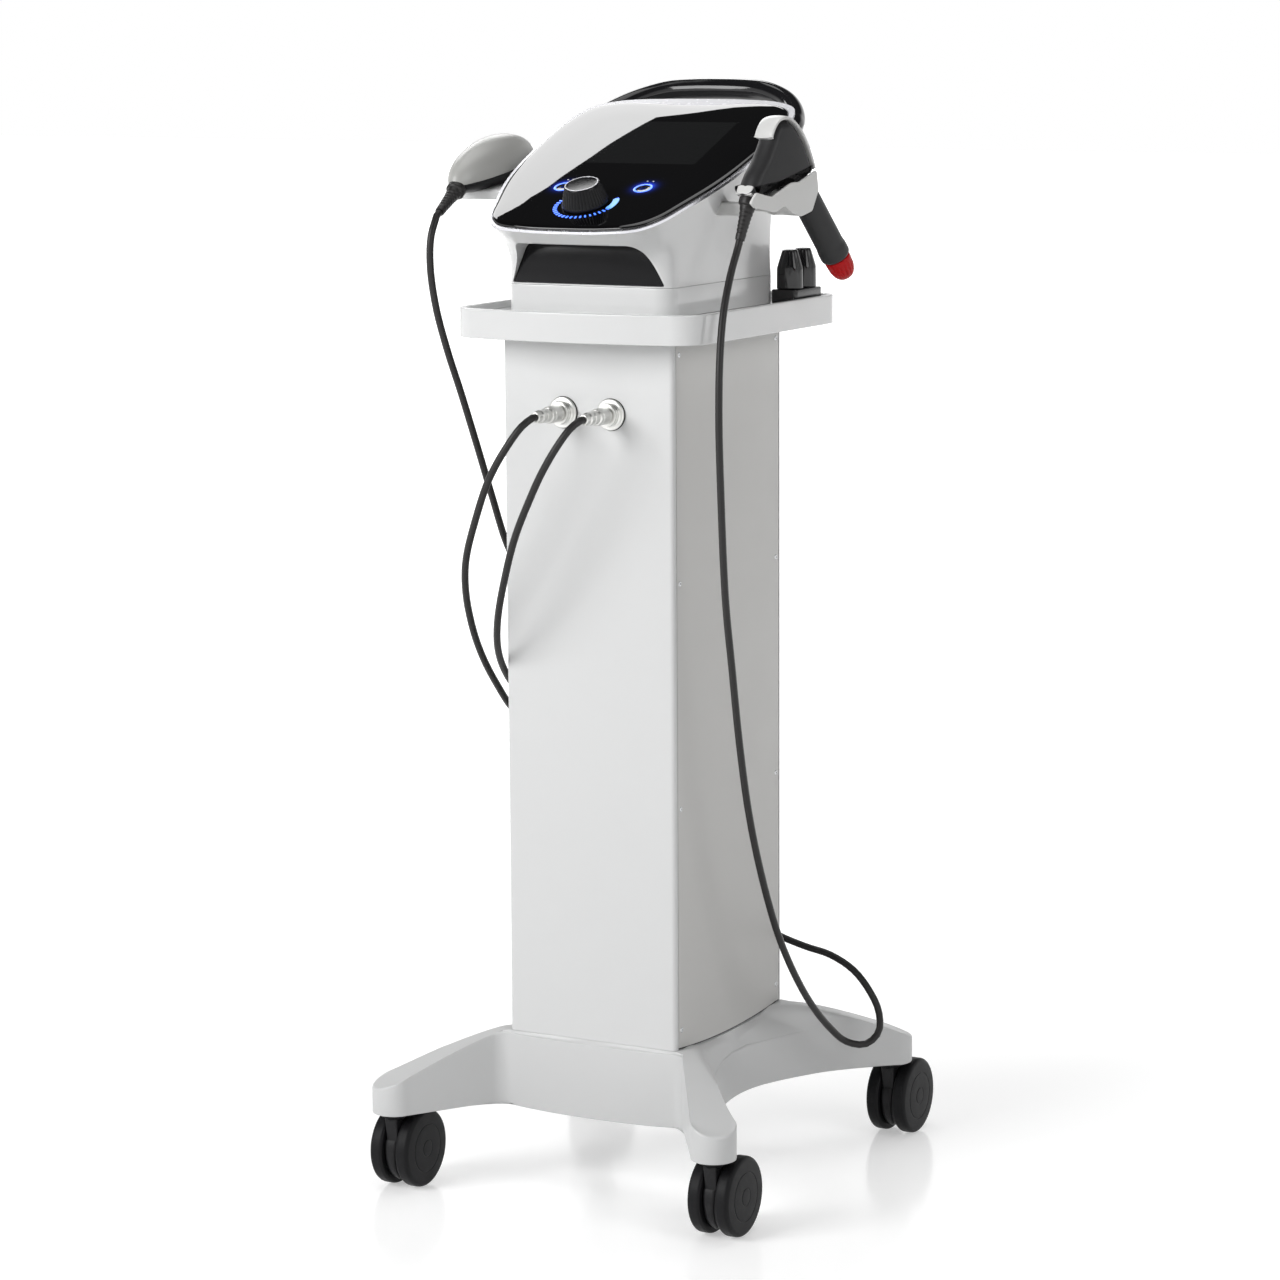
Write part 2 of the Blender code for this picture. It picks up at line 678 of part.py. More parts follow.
def make_base():
    """One casting with four legs: hollow below, sheer outside, and a crown that rises to the cabinet."""
    quarter = base_quarter()
    plan = all_round(quarter)
    tip_y = quarter[-SIDE_STEPS - 1][1]
    hollowed = [0.0] * (len(quarter) - SIDE_STEPS) + [ease(1 - y / tip_y) for _, y in quarter[-SIDE_STEPS:]]
    on_sides = [abs(v) for v, _ in all_round([(v, 0.0) for v in hollowed])]
    foot = all_round(foot_quarter(0.0))
    seat = all_round(foot_quarter(PANEL_SHEET + 2 * GAP))
    under = all_round(base_quarter(BASE_WALL, hollow=True))
    hips = all_round(hip_quarter())
    rings = [[] for _ in range(10)]
    for p, h, q, s, u, on_side in zip(plan, hips, foot, seat, under, on_sides):
        x, y = p
        leg = ease((sqrt(x * x + y * y) - CABINET_B) / (CASTER_Y - CABINET_B))
        low = APRON_BOTTOM + (LEG_BOTTOM - APRON_BOTTOM) * leg
        low += (SIDE_BOTTOM - low) * on_side
        apron = APRON_TOP_DROP if abs(y) <= BASE_HALF_D and on_side == 0.0 else 0.0
        edge = BASE_TOP - leg_fall(sqrt(x * x + y * y)) - apron
        edge += (min(edge, SIDE_SHOULDER) - edge) * ease(2.5 * on_side)
        top = BASE_TOP - (panel_dip(q[1]) if abs(q[0]) >= CABINET_A else 0.0)
        start, bend, end = Vector(p), Vector(h), Vector(q)
        first, second = (bend - start).length, (end - bend).length
        f = min(BASE_FILLET, 0.4 * first)

        def crown(run):
            at = start.lerp(bend, run / first) if run <= first else bend.lerp(end, (run - first) / second)
            t = run / (first + second)
            slope = edge + (top - edge) * t
            dome = max(slope, BASE_TOP - leg_fall(at.length) - apron * (1 - t))
            return (*at, dome + (slope - dome) * ease(2.5 * on_side))

        near = crown(f)
        rings[0].append((*u, BASE_TOP - BASE_ROOF))
        rings[1].append((*u, low))
        rings[2].append((x, y, low))
        rings[3].append((x, y, near[2] - f))
        rings[4].append((x + (near[0] - x) * 0.3, y + (near[1] - y) * 0.3, near[2] - 0.3 * f))
        rings[5].append(near)
        rings[6].append(crown(first))
        rings[7].append((*q, top))
        rings[8].append((*s, top))
        rings[9].append((*s, BASE_TOP))
    base = loft("base_casting", rings, WHITE)
    for sx in (-1, 1):
        for sy in (-1, 1):
            hole = rod(f"stem_hole_{sx}_{sy}", STEM_R + RUN, LEG_BOTTOM - STEM_LENGTH,
                       LEG_BOTTOM + STEM_LENGTH + GAP, 12, None, Matrix.Translation((sx * CASTER_X, sy * CASTER_Y, 0)))
            boolean(base, hole, "DIFFERENCE")


def channel_outline(way):
    """The plan of the folded front or rear sheet, with set-back flanges for the side panels."""
    a, b = CABINET_A, CABINET_B
    step = a - PANEL_SHEET - GAP
    r = CABINET_CORNER_R
    corner = arc((a - r, -b + r), r, -pi / 2, 0, 4)
    right = corner + [(a, -b + CABINET_RETURN), (step, -b + CABINET_RETURN), (step, -b + CABINET_FLANGE),
                      (step - SHEET, -b + CABINET_FLANGE), (step - SHEET, -b + SHEET)]
    plan = right + [(-x, y) for x, y in reversed(right)]
    return [(x, -y * way) for x, y in plan]


def make_cabinet():
    """Folded front and rear sheets, two side panels, the shelves and what stands on them."""
    a, b = CABINET_A, CABINET_B
    front = prism("cabinet_front", channel_outline(-1), CABINET_Z0, CABINET_Z1, WHITE)
    rear = prism("cabinet_rear", channel_outline(1), CABINET_Z0, CABINET_Z1, WHITE)
    for side, sx in (("left", -1), ("right", 1)):
        hole = rod(f"socket_hole_{side}", SOCKET_BORE_R, -SHEET * 2, SHEET * 2, 20, None,
                   axis_frame((sx * SOCKET_X, -b, SOCKET_Z), (0, -1, 0)))
        boolean(front, hole, "DIFFERENCE")
        reach = b - CABINET_RETURN - GAP
        edge = [(y, CABINET_Z0 - panel_dip(y)) for y in np.linspace(-reach, reach, 15)]
        upright = Matrix(((0, 0, 1, sx * (a - PANEL_SHEET / 2)), (1, 0, 0, 0), (0, 1, 0, 0), (0, 0, 0, 1)))
        prism(f"cabinet_side_{side}", edge + [(reach, CABINET_Z1), (-reach, CABINET_Z1)], -PANEL_SHEET / 2,
              PANEL_SHEET / 2, GREY, upright)
    for i in range(VENT_SLOTS):
        slot = block(f"vent_{i}", (0, b, VENT_Z + i * VENT_PITCH), (VENT_SIZE[0], SHEET * 4, VENT_SIZE[1]))
        boolean(rear, slot, "DIFFERENCE")
    opening = block("inlet_hole", (0, b, INLET_Z), (INLET[0] + 2 * GAP, SHEET * 4, INLET[1] + 2 * GAP))
    boolean(rear, opening, "DIFFERENCE")
    inlet_middle = b + INLET_FLANGE + GAP - INLET[2] / 2
    inlet = block("mains_inlet", (0, inlet_middle, INLET_Z), (INLET[0], INLET[2], INLET[1]), BLACK)
    rim = block("inlet_flange", (0, b + GAP + INLET_FLANGE / 2, INLET_Z),
                (INLET[0] + 2 * INLET_FLANGE_W, INLET_FLANGE, INLET[1] + 2 * INLET_FLANGE_H))
    boolean(inlet, rim, "UNION")
    mouth = block("inlet_mouth", (0, b + INLET_FLANGE, INLET_Z),
                  (INLET[0] - 2 * INLET_WALL, INLET[2], INLET[1] - 2 * INLET_WALL))
    boolean(inlet, mouth, "DIFFERENCE")
    make_cabinet_insides()


def make_cabinet_insides():
    """Two shelves with the compressor, the air tank and the power supply."""
    shelf_x = CABINET_W - 2 * (PANEL_SHEET + GAP + SHEET + GAP)
    shelf_y = CABINET_D - 2 * (SHEET + GAP)
    low = CABINET_Z0
    for name, z in (("shelf_lower", low), ("shelf_upper", SHELF_Z)):
        block(name, (0, 0, z + SHELF_T / 2), (shelf_x, shelf_y, SHELF_T), STEEL, metallic=1.0)
    floor = low + SHELF_T + GAP
    cx, cy, cz = COMPRESSOR
    front_y = -shelf_y / 2 + cy / 2 + SHELF_MARGIN
    compressor = block("compressor", (0, front_y, floor + cz / 2), COMPRESSOR, STEEL, metallic=1.0)
    soften(compressor, 0.006, 1)
    motor = rod("compressor_motor", MOTOR_R, -MOTOR_L / 2, MOTOR_L / 2, 20, None,
                axis_frame((0, front_y, floor + cz + MOTOR_R * 0.6), (1, 0, 0), (0, 1, 0)))
    boolean(compressor, motor, "UNION")
    tank_y = shelf_y / 2 - TANK_R - TANK_MARGIN
    profile = [(0.0, TANK_H), (TANK_R * 0.6, TANK_H - 0.006), (TANK_R, TANK_H - 0.030), (TANK_R, 0.030),
               (TANK_R * 0.6, 0.006), (TANK_R * 0.6, 0.0), (0.0, 0.0)]
    turned("air_tank", profile, 20, STEEL, Matrix.Translation((0, tank_y, floor)), metallic=1.0)
    supply = block("power_supply", (0, 0, SHELF_Z + SHELF_T + GAP + SUPPLY[2] / 2), SUPPLY, STEEL, metallic=1.0)
    soften(supply, 0.003, 1)


def bowed_plan(x, front, rear, r, bow):
    """A plan with round corners and a front edge that bows forwards."""
    plan = arc((x - r, rear - r), r, 0, pi / 2, 5)
    plan += arc((-x + r, rear - r), r, pi / 2, pi, 5)
    plan += arc((-x + r, front + r), r, pi, 1.5 * pi, 5)
    plan += [(t * (x - r), front - bow * (1 - t * t)) for t in np.linspace(-1, 1, 9)[1:-1]]
    plan += arc((x - r, front + r), r, 1.5 * pi, tau, 5)
    return plan


def make_tray():
    """A shallow moulded tray on top of the cabinet, its floor laid out around the console's plinth."""
    e = TRAY_EDGE_R
    w = TRAY_RIM_W
    levels = [(e, TRAY_Z0), (0.0, TRAY_Z0 + e), (0.0, TRAY_Z1 - e), (e * 0.8, TRAY_Z1), (w - e * 0.5, TRAY_Z1),
              (w, TRAY_Z1 - e), (w + e * 0.5, TRAY_FLOOR)]
    rings = []
    for inset, z in levels:
        plan = bowed_plan(TRAY_X - inset, TRAY_FRONT + inset, TRAY_REAR - inset, TRAY_CORNER_R - inset, TRAY_BOW)
        rings.append([(x, y, z) for x, y in plan])
    round_plinth = bowed_plan(PLINTH_X + GAP, PLINTH_FRONT - GAP, PLINTH_REAR + GAP, PLINTH_CORNER_R, 0.0)
    rings.append([(x, y, TRAY_FLOOR) for x, y in round_plinth])
    loft("tray", rings, WHITE)


def rim_z(y):
    """Height of the console's tilted rim plane."""
    return RIM_FRONT_Z + (y - RIM_FRONT_Y) * sin(RIM_TILT) / cos(RIM_TILT)


RIM_NORMAL = Vector((0.0, -sin(RIM_TILT), cos(RIM_TILT)))


def on_rim(x, y, height=0.0):
    """A point above the rim plane, measured square to it."""
    return Vector((x, y, rim_z(y))) + RIM_NORMAL * height


def rim_frame(x, y, height=0.0):
    """A frame on the rim plane: X across, Y up the slope, Z out of it."""
    return axis_frame(on_rim(x, y, height), RIM_NORMAL)


def rim_outline(inset=0.0, rear_inset=None):
    """The shield-shaped rim in plan, drawn in evenly and, if asked, more at the rear."""
    half = RIM_HALF_OUTLINE
    whole = half + [(-x, y) for x, y in reversed(half[1:-1])]
    plan = by_angle([tuple(v)[:2] for v in smooth_through([(x, y, 0) for x, y in whole], 160, True)],
                    RIM_CENTRE, HULL_POINTS)
    rear_inset = inset if rear_inset is None else rear_inset
    drawn = []
    for x, y in plan:
        dx, dy = x - RIM_CENTRE[0], y - RIM_CENTRE[1]
        reach = sqrt(dx * dx + dy * dy)
        rearward = max(0.0, dy / reach) ** 4
        keep = 1 - (inset + (rear_inset - inset) * rearward) / reach
        drawn.append((RIM_CENTRE[0] + dx * keep, RIM_CENTRE[1] + dy * keep))
    return drawn


def hull_rings(offset=0.0):
    """Rings of the console's outside, from the plinth's plan up to the tilted rim."""
    foot = by_angle(rounded_rectangle(-PLINTH_X - offset, PLINTH_X + offset, PLINTH_FRONT - offset,
                                      PLINTH_REAR + offset, PLINTH_CORNER_R + offset), RIM_CENTRE, HULL_POINTS)
    rim = rim_outline(-offset)
    rings = []
    low = HULL_Z0 - offset
    for t in (0.0, 0.3, 0.55, 0.8, 1.0):
        out = t ** HULL_FLARE
        ring = []
        for (fx, fy), (rx, ry) in zip(foot, rim):
            x, y = fx + (rx - fx) * out, fy + (ry - fy) * out
            keep = 1 - HULL_WAIST * sin(pi * t) / sqrt((x - RIM_CENTRE[0]) ** 2 + (y - RIM_CENTRE[1]) ** 2)
            x, y = RIM_CENTRE[0] + (x - RIM_CENTRE[0]) * keep, RIM_CENTRE[1] + (y - RIM_CENTRE[1]) * keep
            ring.append((x, y, low + (rim_z(ry) - low) * t))
        rings.append(ring)
    return rings


def make_console():
    """The plinth, the boat-shaped housing, its front recess, the fascia and what shows through it."""
    plan = rounded_rectangle(-PLINTH_X, PLINTH_X, PLINTH_FRONT, PLINTH_REAR, PLINTH_CORNER_R)
    plinth = prism("console_plinth", plan, PLINTH_Z0, PLINTH_Z1, WHITE)
    w = PLINTH_WALL
    inner = rounded_rectangle(-PLINTH_X + w, PLINTH_X - w, PLINTH_FRONT + w, PLINTH_REAR - w, PLINTH_CORNER_R - w)
    boolean(plinth, prism("plinth_hollow", inner, PLINTH_Z0 - w, PLINTH_Z1 - w), "DIFFERENCE")
    hull = loft("console_housing", hull_rings(), WHITE)
    floor = rounded_rectangle(-CAVITY_X, CAVITY_X, CAVITY_FRONT, CAVITY_REAR, PLINTH_CORNER_R)
    low = [(x, y, HULL_Z0 + CAVITY_FLOOR) for x, y in floor]
    mouth = [on_rim(x, y, PLINTH_H) for x, y in floor]
    boolean(hull, loft("console_cavity", [low, mouth]), "DIFFERENCE")
    cut_notch(hull)
    make_fascia()
    make_controls(hull)
    make_carry_handle()


def notch_outline(inset):
    """The recess's front shape: wider at the foot, with round upper corners."""
    low = HULL_Z0 + NOTCH_SILL + inset
    high = HULL_Z0 + NOTCH_SILL + NOTCH_H - inset
    wide, narrow, r = NOTCH_BOTTOM_X - 1.5 * inset, NOTCH_TOP_X - 1.5 * inset, NOTCH_CORNER_R - inset
    corner = arc((narrow - r, high - r), r, radians(20), pi / 2, 4)
    return [(-wide, low), (wide, low)] + corner + [(-x, z) for x, z in reversed(corner)]


def cut_notch(hull):
    """The wide recess under the fascia's front edge and the dark plate at its back."""
    upright = Matrix(((1, 0, 0, 0), (0, 0, 1, 0), (0, 1, 0, 0), (0, 0, 0, 1)))
    notch = prism("notch", notch_outline(0.0), RIM_FRONT_Y - NOTCH_H, NOTCH_BACK_Y, None, upright)
    boolean(hull, notch, "DIFFERENCE")
    front = NOTCH_BACK_Y - GAP - NOTCH_PLATE_T
    prism("recess_plate", notch_outline(GAP), front, NOTCH_BACK_Y - GAP, BLACK, upright)


def make_fascia():
    """The silver trim on the rim and the dark glass panel inside it."""
    outer = rim_outline(0.0006)
    inner = rim_outline(TRIM_W, TRIM_REAR_W)
    levels = [(outer, GAP), (outer, TRIM_T), (inner, TRIM_T), (inner, GAP)]
    loft("fascia_trim", [[on_rim(x, y, h) for x, y in plan] for plan, h in levels], STEEL, closed=True, metallic=1.0)
    rings = []
    for inset, h in ((0.0, GAP), (0.0, TRIM_T + 0.0006), (0.0015, FASCIA_EDGE), (0.012, FASCIA_T)):
        plan = rim_outline(TRIM_W + GAP + inset, TRIM_REAR_W + GAP + inset)
        rings.append([on_rim(x, y, h) for x, y in plan])
    fascia = loft("fascia_glass", rings, BLACK, roughness=0.05)
    for side, sx in (("left", -1), ("right", 1)):
        hole = rod(f"button_hole_{side}", BUTTON_R + SLIDE, -FASCIA_T, 2 * FASCIA_T, 16, None,
                   rim_frame(sx * BUTTON_X, BUTTON_Y))
        boolean(fascia, hole, "DIFFERENCE")
    shaft_hole = rod("shaft_hole", DIAL_SHAFT_R + SLIDE, -FASCIA_T, 2 * FASCIA_T, 16, None, rim_frame(0.0, DIAL_Y))
    boolean(fascia, shaft_hole, "DIFFERENCE")
    block("display", (0, 0, -SCREEN[2] / 2), SCREEN, DARK, rim_frame(0.0, SCREEN_Y))


def make_controls(hull):
    """The two push buttons, the rotary dial, its encoder and the board behind them."""
    board_frame = rim_frame(0.0, BUTTON_Y, -BOARD_DEPTH)
    board = block("control_board", (0, 0, -BOARD[2] / 2), BOARD, GREEN, board_frame)
    for sx in (-1, 1):
        for sy in (-1, 1):
            at = (sx * (BOARD[0] / 2 - 0.006), sy * (BOARD[1] / 2 - 0.006), 0.0)
            post = rod(f"board_post_{sx}_{sy}", BOARD_POST_R, -BOARD[2] / 2, BOARD_DEPTH, 10, None,
                       board_frame @ Matrix.Translation(at))
            boolean(board, post, "UNION")
    for side, sx in (("left", -1), ("right", 1)):
        top = FASCIA_T + BUTTON_PROUD
        stem_end = -BOARD_DEPTH + BUTTON_TRAVEL + GAP
        lip = -GAP - SLIDE
        profile = [(0.0, top), (BUTTON_R - 0.0006, top), (BUTTON_R, top - 0.0006), (BUTTON_R, lip),
                   (BUTTON_FLANGE_R, lip), (BUTTON_FLANGE_R, lip - BUTTON_FLANGE_T),
                   (BUTTON_STEM_R, lip - BUTTON_FLANGE_T), (BUTTON_STEM_R, stem_end), (0.0, stem_end)]
        turned(f"button_{side}", profile, 16, BLACK, rim_frame(sx * BUTTON_X, BUTTON_Y))
    pocket = rod("encoder_pocket", ENCODER_R + GAP, -ENCODER_H - GAP, ENCODER_H, 16, None, rim_frame(0.0, DIAL_Y))
    boolean(hull, pocket, "DIFFERENCE")
    bore = DIAL_SHAFT_R + RUN
    encoder = [(ENCODER_R, 0.0), (ENCODER_R, -ENCODER_H), (0.0, -ENCODER_H), (0.0, -DIAL_SHAFT_L - GAP),
               (bore, -DIAL_SHAFT_L - GAP), (bore, 0.0)]
    turned("dial_encoder", encoder, 16, STEEL, rim_frame(0.0, DIAL_Y), ring=True, metallic=1.0)
    make_dial()


def make_dial():
    """A tapered knob with a fluted side on a thin shaft."""
    count = DIAL_RIDGES * 2
    low = FASCIA_T + DIAL_LIFT
    levels = [(DIAL_SHAFT_R, -DIAL_SHAFT_L, 0.0), (DIAL_SHAFT_R, low, 0.0), (DIAL_BASE_R, low, DIAL_RIDGE),
              (DIAL_BASE_R - 0.0015, low + 0.3 * DIAL_H, DIAL_RIDGE), (DIAL_TOP_R, low + 0.94 * DIAL_H, DIAL_RIDGE),
              (DIAL_TOP_R - 0.0015, low + DIAL_H, 0.0)]
    rings = []
    for radius, height, ridge in levels:
        ring = []
        for i in range(count):
            angle = tau * i / count
            r = radius - ridge * (i % 2)
            ring.append((r * cos(angle), r * sin(angle), height))
        rings.append(ring)
    loft("dial", rings, BLACK, frame=rim_frame(0.0, DIAL_Y))


def tube(name, points, radius, sides_step, colour):
    """A round bar along a route, as a bevelled curve with filled ends."""
    curve = bpy.data.curves.new(name, "CURVE")
    curve.dimensions = "3D"
    curve.bevel_depth = radius
    curve.bevel_resolution = sides_step
    curve.use_fill_caps = True
    spline = curve.splines.new("POLY")
    spline.points.add(len(points) - 1)
    for target, point in zip(spline.points, points):
        target.co = (*point, 1.0)
    obj = bpy.data.objects.new(name, curve)
    bpy.data.collections[PARTS].objects.link(obj)
    curve.materials.append(material(name, colour))
    return obj


def swept(name, points, radius, sides, colour):
    """Round rings carried along a route, for a bar that is cut to fit afterwards."""
    rings = []
    across = Vector((0.0, 0.0, 1.0))
    for i, point in enumerate(points):
        way = points[min(i + 1, len(points) - 1)] - points[max(i - 1, 0)]
        frame = axis_frame(point, way, across)
        across = frame.col[0].to_3d()
        turn = [tau * k / sides for k in range(sides)]
        rings.append([frame @ Vector((radius * cos(a), radius * sin(a), 0.0)) for a in turn])
    return loft(name, rings, colour)


def make_carry_handle():
    """The arched grip behind the panel, seated on the housing's rear wall."""
    half = [(x, y, HULL_Z0 + z) for x, y, z in HANDLE_ROUTE]
    route = smooth_through(half + [(-x, y, z) for x, y, z in reversed(half[:-1])], 23)
    handle = swept("carry_handle", route, HANDLE_R, 12, BLACK)
    boolean(handle, loft("handle_seat", hull_rings(GAP)), "DIFFERENCE")


def make_sockets():
    """The two air and signal sockets on the cabinet's front and the plugs in them."""
    face = -CABINET_B - GAP
    for side, sx in (("left", -1), ("right", 1)):
        out = axis_frame((sx * SOCKET_X, face, SOCKET_Z), (0, -1, 0))
        nose = SOCKET_FLANGE_T + SOCKET_NOSE_L
        back = -0.010
        profile = [(SOCKET_BORE_R, nose), (SOCKET_NOSE_R, nose), (SOCKET_NOSE_R, SOCKET_FLANGE_T),
                   (SOCKET_FLANGE_R - 0.001, SOCKET_FLANGE_T), (SOCKET_FLANGE_R, SOCKET_FLANGE_T - 0.001),
                   (SOCKET_FLANGE_R, 0.0), (SOCKET_BORE_R - GAP, 0.0), (SOCKET_BORE_R - GAP, back),
                   (SOCKET_BORE_R - 0.002, back), (SOCKET_BORE_R - 0.002, SOCKET_FLANGE_T),
                   (SOCKET_BORE_R, SOCKET_FLANGE_T)]
        turned(f"socket_{side}", profile, 20, STEEL, out, ring=True, metallic=1.0)
        start = nose + GAP
        grip = start + PLUG_GRIP_L
        nut = grip + PLUG_NUT_L
        end = nut + PLUG_BOOT_L
        plug = [(0.0, end), (PLUG_BOOT_R, end), (PLUG_BOOT_R, nut), (PLUG_NUT_R, nut - 0.001), (PLUG_NUT_R, grip),
                (PLUG_R, grip - 0.0012), (PLUG_R, start), (SOCKET_BORE_R - SLIDE, start),
                (SOCKET_BORE_R - SLIDE, SOCKET_FLANGE_T + GAP), (0.0, SOCKET_FLANGE_T + GAP)]
        turned(f"plug_{side}", plug, 16, STEEL, out, metallic=1.0)


def make_spares():
    """A rack at the tray's right rear with two spare applicator heads on pegs."""
    floor = TRAY_FLOOR + GAP
    rack = block("spare_rack", (RACK_X, RACK_Y, floor + RACK[2] / 2), RACK, BLACK)
    soften(rack, 0.003, 2)
    top = floor + RACK[2]
    for name, way in (("front", -1), ("rear", 1)):
        at = Matrix.Translation((RACK_X, RACK_Y + way * SPARE_PITCH / 2, top))
        boolean(rack, rod(f"peg_{name}", SPARE_PEG_R, -0.004, SPARE_PEG_H, 16, None, at), "UNION")
        hole = SPARE_PEG_R + SLIDE
        r, h = SPARE_R, SPARE_H
        profile = [(0.0, h), (0.55 * r, h), (0.64 * r, h - 0.003), (0.84 * r, h - 0.014), (r, h - 0.023), (r, GAP),
                   (hole, GAP), (hole, SPARE_PEG_H + 2 * GAP), (0.0, SPARE_PEG_H + 2 * GAP)]
        turned(f"spare_head_{name}", profile, 16, BLACK, at)


def round_frame():
    """The left handpiece's own frame: Y towards its tail end, Z out of its crown."""
    x, y, z = ROUND_CENTRE
    return Matrix.Translation((x, y, HULL_Z0 + z)) @ Matrix.Rotation(ROUND_PITCH, 4, "X")


def round_shell(name, heights, colour=None, grow=0.0):
    """Stacked level ovals of an egg-shaped body, from the first height to the last."""
    rings = []
    for height in heights:
        reach = (ROUND_CROWN if height > 0 else ROUND_BELLY) + grow
        share = sqrt(max(0.0, 1 - (height / reach) ** 2))
        ring = []
        for angle in np.arange(26) * tau / 26:
            taper = 1 + ROUND_TAPER * sin(angle)
            x = (ROUND_WIDTH / 2 + grow) * share * cos(angle) * taper
            y = (ROUND_LENGTH / 2 + grow) * share * sin(angle)
            ring.append((x, y, height))
        rings.append(ring)
    return loft(name, rings, colour, frame=round_frame())


def relief(name, start, direction, colour=BLACK):
    """A tapered strain relief, its cord end last."""
    profile = [(0.0, RELIEF_L), (RELIEF_END_R, RELIEF_L), (RELIEF_R * 0.82, RELIEF_L * 0.45),
               (RELIEF_R, 0.011), (RELIEF_FLANGE_R, 0.009), (RELIEF_FLANGE_R, GAP), (0.0, GAP)]
    return turned(name, profile, 16, colour, axis_frame(start, direction))


def make_round_handpiece():
    """The left handpiece's two shells, its strain relief and the shelf that it lies on."""
    c = ROUND_CROWN
    crown = round_shell("round_handpiece_crown", [GAP / 2, 0.3 * c, 0.55 * c, 0.76 * c, 0.9 * c, 0.975 * c], GREY)
    belly = round_shell("round_handpiece_belly", [-ROUND_FLAT, -0.4 * ROUND_FLAT, -GAP / 2], BLACK)
    start = round_frame().translation + Vector(ROUND_RELIEF_AT)
    pocket_frame = axis_frame(start, ROUND_RELIEF_DIR)
    for shell, name in ((crown, "crown_pocket"), (belly, "belly_pocket")):
        boolean(shell, rod(name, RELIEF_FLANGE_R + GAP, 0.0, RELIEF_L, 16, None, pocket_frame), "DIFFERENCE")
    relief("round_handpiece_relief", start, ROUND_RELIEF_DIR)
    frame = round_frame()
    inward = -PLINTH_X * 0.8 - ROUND_CENTRE[0]
    near, far = SHELF_SPAN
    cut = SHELF_CORNER
    outline = arc((-SHELF_REACH + cut, far - cut), cut, pi / 2, pi, 4)
    outline += arc((-SHELF_REACH + cut, near + cut), cut, pi, 1.5 * pi, 4) + [(inward, near), (inward, far)]
    seat = -ROUND_FLAT - GAP
    holder = prism("holder_left", outline, seat - SHELF_THICK, seat, WHITE, frame)
    boolean(holder, loft("holder_left_seat", hull_rings(GAP)), "DIFFERENCE")


ALONG = Vector((cos(PISTOL_TURN), sin(PISTOL_TURN), 0.0))
ASIDE = Vector((sin(PISTOL_TURN), -cos(PISTOL_TURN), 0.0))


def pistol_frame():
    """The right handpiece's plane: X along it, Y up, Z out towards the viewer's right."""
    frame = Matrix((ALONG, Vector((0, 0, 1)), ASIDE)).transposed().to_4x4()
    frame.translation = Vector((*PISTOL_ORIGIN, HULL_Z0))
    return frame


def in_pistol(s, z, out=0.0):
    """A world point from a distance along the plane, a height and a distance out of it."""
    return pistol_frame() @ Vector((s, z, out))


def pistol_dir(direction):
    """A world direction from one in the handpiece's plane."""
    return ALONG * direction[0] + Vector((0, 0, direction[1]))


def make_pistol_handpiece():
    """The right handpiece's body, spine, barrel, applicator head and strain relief."""
    back = [tuple(v)[:2] for v in smooth_through([(*p, 0) for p in PISTOL_BACK], 19)]
    under = [tuple(v)[:2] for v in smooth_through([(*p, 0) for p in PISTOL_UNDER], 7)]
    outline = back + under
    t = PISTOL_HALF_T
    body = prism("pistol_body", outline, -t, t, DARK, pistol_frame())
    soften(body, PISTOL_EDGE_R, 2, 50)
    make_spine(back)
    barrel_axis = axis_frame(in_pistol(*BARREL_ROOT), pistol_dir(BARREL_DIR), ASIDE)
    r, n, e = BARREL_R, BARREL_L, BARREL_END_R
    barrel = [(0.0, n), (e - 0.002, n), (e, n - 0.003), (e, n - 0.012), (r, n - 0.017), (r, GAP), (0.0, GAP)]
    turned("pistol_barrel", barrel, 20, DARK, barrel_axis)
    start = n + GAP
    tip = [(0.0, start + TIP_L), (TIP_R * 0.45, start + TIP_L), (TIP_R * 0.8, start + TIP_L * 0.88),
           (TIP_R, start + TIP_L * 0.62), (TIP_R, start), (0.0, start)]
    turned("pistol_head", tip, 20, RED, barrel_axis)
    lower_end = (Vector(PISTOL_BACK[0]) + Vector(PISTOL_UNDER[-1])) / 2
    relief("pistol_relief", in_pistol(*lower_end), pistol_dir(PISTOL_RELIEF_DIR))
    make_pistol_holder()


def make_spine(back):
    """The pale strap over the handpiece's top and along its far edge."""
    inner, outer = [], []
    for before, here, after in zip(back, back[1:], back[2:]):
        if here[0] < SPINE_START:
            continue
        way = (Vector(after) - Vector(before)).normalized()
        normal = Vector((-way.y, way.x))
        inner.append(tuple(Vector(here) + normal * GAP))
        outer.append(tuple(Vector(here) + normal * (GAP + SPINE_T)))
    strap = inner + list(reversed(outer))
    prism("pistol_spine", strap, -SPINE_HALF_W, SPINE_HALF_W, GREY, pistol_frame())


